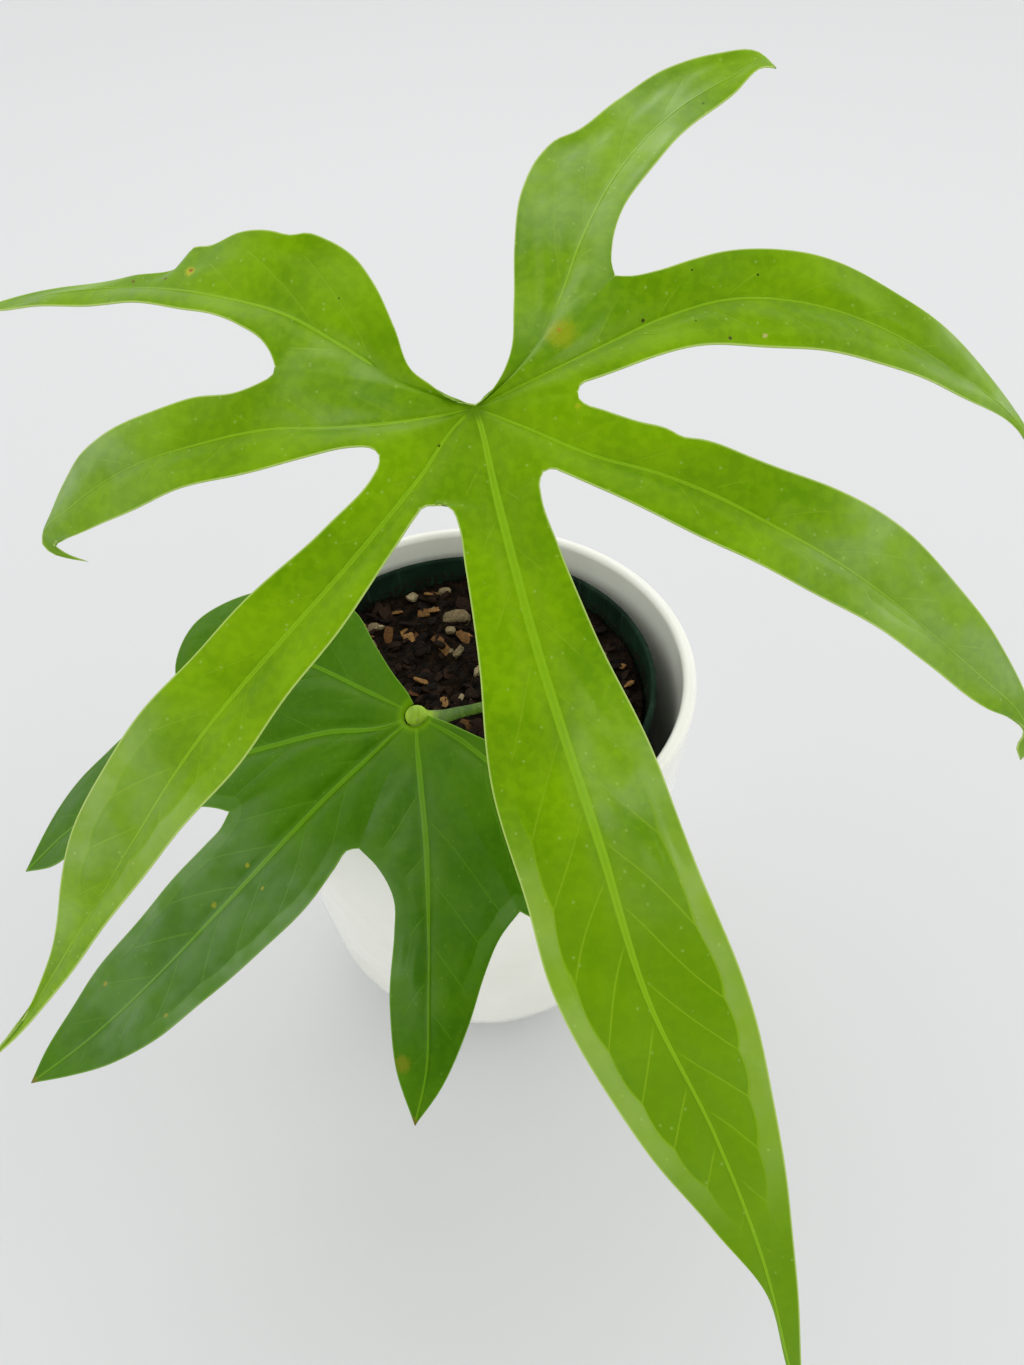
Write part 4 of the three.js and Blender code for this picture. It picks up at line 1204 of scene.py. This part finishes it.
def addMidrib(leaf, half):
    # distance from the rib in half widths of it: it widens at first and narrows past the lobe's middle, and
    # where the rib doesn't show yet the number is raised until it lies outside
    s, number = half["travelled"], half["number"]
    share = s / half["length"]
    taper = (0.6 + 0.4 * fade("ribWidens", share)) * (1 - 0.62 * fade("ribNarrows", share))
    half["ribAcross"] = half["fromRib"] / (leaf["ribWidths"][number] * taper)
    begin = leaf["ribBegins"][number]
    if begin:
        half["ribAcross"] = half["ribAcross"] + 5 * (1 - fade("ribBegins", s - begin))


def addShine(leaf, half):
    # painted shade that darkens the outer part of the lobe, and the sum of its shining stretches: each fades
    # in and out along the lobe and changes across the rib from one side's strength to the other's
    share = half["travelled"] / half["length"]
    half["shade"] = leaf["paintedShadeEnds"].get(half["number"], 0) * fade("paintedShadeEnd", share)
    half["shine"] = np.zeros_like(share)
    for lobe, low, high, *strengths in leaf["shines"]:
        if lobe == half["number"]:
            atRib, offRib = sum(strengths) / 2, strengths[half["side"]]
            level = atRib + (offRib - atRib) * fade("shineOffRib", half["fromRib"])
            within = fade("shineBegins", share - low) * (1 - fade("shineEnds", share - high))
            half["shine"] = half["shine"] + level * within


def addRelief(leaf, half):
    # lift: a ridge on the rib with a trough each side, low cushions between the laterals, a crease at the
    # collective vein, and slow unevenness; it all fades to nothing at the seams, the margin and both ends
    s, across = half["travelled"], half["ribAcross"]
    height = blade["ribRidge"] * leaf["ribWidths"][half["number"]] * (1 - 0.75 * s / half["length"])
    ridge = height * (np.exp(-across ** 2) - 0.3 * np.exp(-((across - 2.6) ** 2)))
    ridge = ridge * fade("ridgeFromApex", s) * fade("ridgeOffSeam", half["toSide"])
    inside = fade("cushionInside", half["toCollective"]) * fade("cushionOffRib", half["fromRib"])
    cushion = blade["quilt"] * np.sin(np.pi * half["near"]) * inside * half["strength"]
    offCrease = half["toCollective"] / blade["creaseWidth"]
    crease = blade["crease"] * half["creaseShown"] * np.exp(-(offCrease ** 2))
    uneven = blade["uneven"] * softNoise(half["x"], half["y"], blade["unevenSize"], 9, blade["netShift"])
    slow = (uneven - crease) * smoothStep(half["toSide"], 0, blade["rimWidth"])
    ends = fade("reliefFromApex", s) * fade("reliefToTip", half["length"] - s)
    atMargin = smoothStep(half["toMargin"], 0, blade["rimWidth"])
    half["lift"] = half["lift"] + ridge + (cushion + slow) * ends * atMargin


def addDepth(leaf, half):
    # thickness: thin at the margin and full inside, with a keel under the midrib and low ones under the veins
    s, d = half["travelled"], half["fromRib"]
    keelWidth = 1.3 * leaf["ribWidths"][half["number"]]
    keel = blade["ribKeel"] * np.exp(-(d / keelWidth) ** 2) * (1 - 0.8 * s / half["length"])
    offVein = half["near"] * leaf["veinSpacing"] / 1.4
    lateral = blade["veinKeel"] * np.exp(-(offVein ** 2)) * half["strength"]
    thicker = blade["thickness"] - blade["edgeThickness"]
    body = blade["edgeThickness"] + thicker * smoothStep(half["toMargin"], 0, blade["rimWidth"])
    keels = (keel + lateral) * fade("keelOffSeam", half["toSide"]) * fade("keelFromApex", s)
    half["depth"] = body + keels


def outwardNormals(points, triangles):
    # the sum of the faces' normals at each point, made one long
    a, b, c = (points[triangles[:, corner]] for corner in range(3))
    faceNormal = np.cross(b - a, c - a)
    total = np.zeros_like(points)
    for corner in range(3):
        np.add.at(total, triangles[:, corner], faceNormal)
    return total / np.maximum(np.linalg.norm(total, axis=1), 1e-12)[:, None]


def openEdges(triangles, count):
    # directed edges whose reverse belongs to no triangle
    edges = np.concatenate([triangles[:, [0, 1]], triangles[:, [1, 2]], triangles[:, [2, 0]]])
    key = edges[:, 0] * count + edges[:, 1]
    return edges[~np.isin(key, edges[:, 1] * count + edges[:, 0])]


def bladeFinish(leaf, name):
    finish = Finish(name)
    tint = {key: colour(*value) for key, value in leaf["colours"].items()}
    ribAcross, crease = finish.layer("rib")
    phase, strength = finish.layer("vein")
    toMargin, toCollective = finish.layer("edge")
    across, along = finish.layer("plan")
    # the shine layer holds where the coat shines and the painted shade of the lobes' outer parts
    shine, shade = finish.layer("shine")

    def distance(x, y):
        return ((across - x).math("POWER", 2) + (along - y).math("POWER", 2)).math("SQRT")

    ribMask = ribAcross.below(0.8, 1.15)
    ribCentre = ribAcross.below(0.15, 0.5)
    lateral = (phase.nearest() * leaf["veinSpacing"]).below(0.1, 0.5) * strength
    collective = toCollective.size().below(0.08, 0.3) * crease
    # the strip outside the collective vein: partly the blade's own paler margin, partly painted sheen
    paleStripAndSheen = toCollective.below(-0.3, 0.1) * crease
    edge = toMargin.below(0.14, 0.38)
    cloud = finish.noise(15, detail=3).above(0.35, 0.65)
    mottle = finish.noise(1.7, detail=4).above(0.4, 0.62)
    dots = finish.specks(2.6, 0.14)
    inner, outer, reach = leaf["heart"]
    middle = distance(0, 0)
    base = finish.blend(tint["deep"], tint["bright"], cloud * 0.5 + mottle * 0.25 + 0.15)
    base = finish.blend(base, tint["heart"], middle.below(outer, reach) * 0.2)
    base = finish.blend(base, tint["deep"], (1 - paleStripAndSheen) * crease * 0.5)
    # painted shade: the outer part of some lobes is darkened towards deep green
    base = finish.blend(base, tint["deep"], shade)
    # paler strip outside the collective vein, partly real margin colour and partly painted sheen
    base = finish.blend(base, tint["paleStripAndSheen"], paleStripAndSheen * 0.55)
    base = finish.blend(base, tint["edge"], dots * 0.22)
    base = finish.blend(base, tint["vein"], lateral * (0.3 + crease * 0.3))
    base = finish.blend(base, tint["vein"], collective * 0.6)
    base = finish.blend(base, tint["rib"], ribMask * 0.75 - ribCentre * ribMask * 0.2)
    base = finish.blend(base, tint["heart"], middle.below(inner, outer) * 0.85)
    base = finish.blend(base, tint["edge"], edge * 0.7)
    ragged = finish.noise(0.5, detail=2)
    for x, y, radius, spotColour in leaf["spots"]:
        spot = (distance(x, y) + ragged * radius * 0.9).below(radius * 0.8, radius * 1.5)
        base = finish.blend(base, colour(*spotColour), spot)
    streaks = finish.noise(9, detail=2).above(0.35, 0.6)
    grain = finish.noise(0.45, detail=2)
    height = grain * 0.16 + ribMask * 0.8 - lateral * 0.5 - collective * 0.5 + mottle * 0.1
    return finish.surface({
        "Base Color": base,
        "Roughness": 0.34 + mottle * 0.08 + grain * 0.08,
        "Specular Tint": leaf["sheen"],
        "Coat Weight": (shine + paleStripAndSheen * 0.6).math("MINIMUM", 1.0) * (0.35 + streaks * 0.65),
        "Coat Roughness": 0.3,
        "Coat IOR": 1.7,
        "Normal": finish.relief(height, 0.12),
    })


def bladeBackFinish(leaf, name):
    finish = Finish(name)
    tint = {key: colour(*value) for key, value in leaf["colours"].items()}
    ribAcross, _ = finish.layer("rib")
    phase, strength = finish.layer("vein")
    _, toCollective = finish.layer("edge")
    ribMask = ribAcross.below(1.0, 2.0)
    lateral = (phase.nearest() * leaf["veinSpacing"]).below(0.2, 1.1) * strength
    collective = toCollective.size().below(0.1, 0.4)
    net = finish.node("ShaderNodeTexVoronoi", {"feature": "DISTANCE_TO_EDGE"},
                      {"Vector": finish.place(), "Scale": 1 / (2.6 * mm)}).below(0.02, 0.1)
    cloud = finish.noise(12, detail=3).above(0.35, 0.65)
    base = finish.blend(tint["below"], tint["vein"], cloud * 0.2)
    base = finish.blend(base, tint["belowVein"], net * 0.2)
    veins = (lateral + collective * 0.6 + ribMask).math("MINIMUM", 1.0)
    base = finish.blend(base, tint["belowVein"], veins * 0.9)
    return finish.surface({
        "Base Color": base,
        "Roughness": 0.55 + cloud * 0.08,
        "Specular IOR Level": 0.3,
        "Specular Tint": leaf["sheen"],
        "Normal": finish.relief(lateral + collective * 0.6 + net * 0.3 + finish.noise(0.5) * 0.2, 0.12),
    })


def makeLeaf(leaf, name):
    # the upper face of all the half lobes, welded; the lower face is set back along the normals by the
    # depth at each point, and a wall joins the two along the margin
    halves = halfLobes(leaf)
    for half in halves:
        for add in (addVeins, addMidrib, addShine, addRelief, addDepth):
            add(leaf, half)
    points, triangles, start = [], [], 0
    for half in halves:
        rows, columns = half["x"].shape
        points.append(np.stack([half["x"], half["y"], half["lift"]], axis=-1).reshape(-1, 3))
        grid = gridTriangles(rows, columns) + start
        triangles.append(grid if half["side"] else grid[:, ::-1])
        start += rows * columns

    def gather(first, second):
        pairs = [np.stack([half[first], half[second]], -1).reshape(-1, 2) for half in halves]
        return np.concatenate(pairs)

    values = {"rib": gather("ribAcross", "creaseShown"), "vein": gather("phase", "strength"),
              "edge": gather("toMargin", "toCollective"), "plan": gather("x", "y"),
              "shine": gather("shine", "shade")}
    depth = np.concatenate([half["depth"].ravel() for half in halves])
    local = np.concatenate(points)
    placed = np.array(leaf["origin"]) + local @ leafFrame(leaf)
    top, faces, corners = welded(placed, np.concatenate(triangles))
    source = np.zeros(len(top), int)
    source[faces.ravel()] = corners.ravel()
    normals = outwardNormals(top, faces)
    bottom = top - normals * depth[source][:, None]
    edges = openEdges(faces, len(top))
    begin, end = edges.T
    count = len(top)
    wall = np.concatenate([np.stack([begin, count + begin, count + end], 1),
                           np.stack([begin, count + end, end], 1)])
    wallCorners = source[wall % count]
    allFaces = np.concatenate([faces, faces[:, ::-1] + count, wall])
    allCorners = np.concatenate([corners, corners[:, ::-1], wallCorners])
    materialOf = np.repeat([0, 1, 0], [len(faces), len(faces), len(wall)]).astype(np.int32)
    finishes = [bladeFinish(leaf, name + "Face"), bladeBackFinish(leaf, name + "Back")]
    layers = {key: value[allCorners] for key, value in values.items()}
    piece = makePiece(name, np.concatenate([top, bottom]), allFaces, finishes, layers, materialOf)
    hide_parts(leaf["node"])
    print(name, len(allFaces), "triangles")


makeLeaf(upperLeaf, "upperBlade")
makeLeaf(lowerLeaf, "lowerBlade")
print("leaves made")
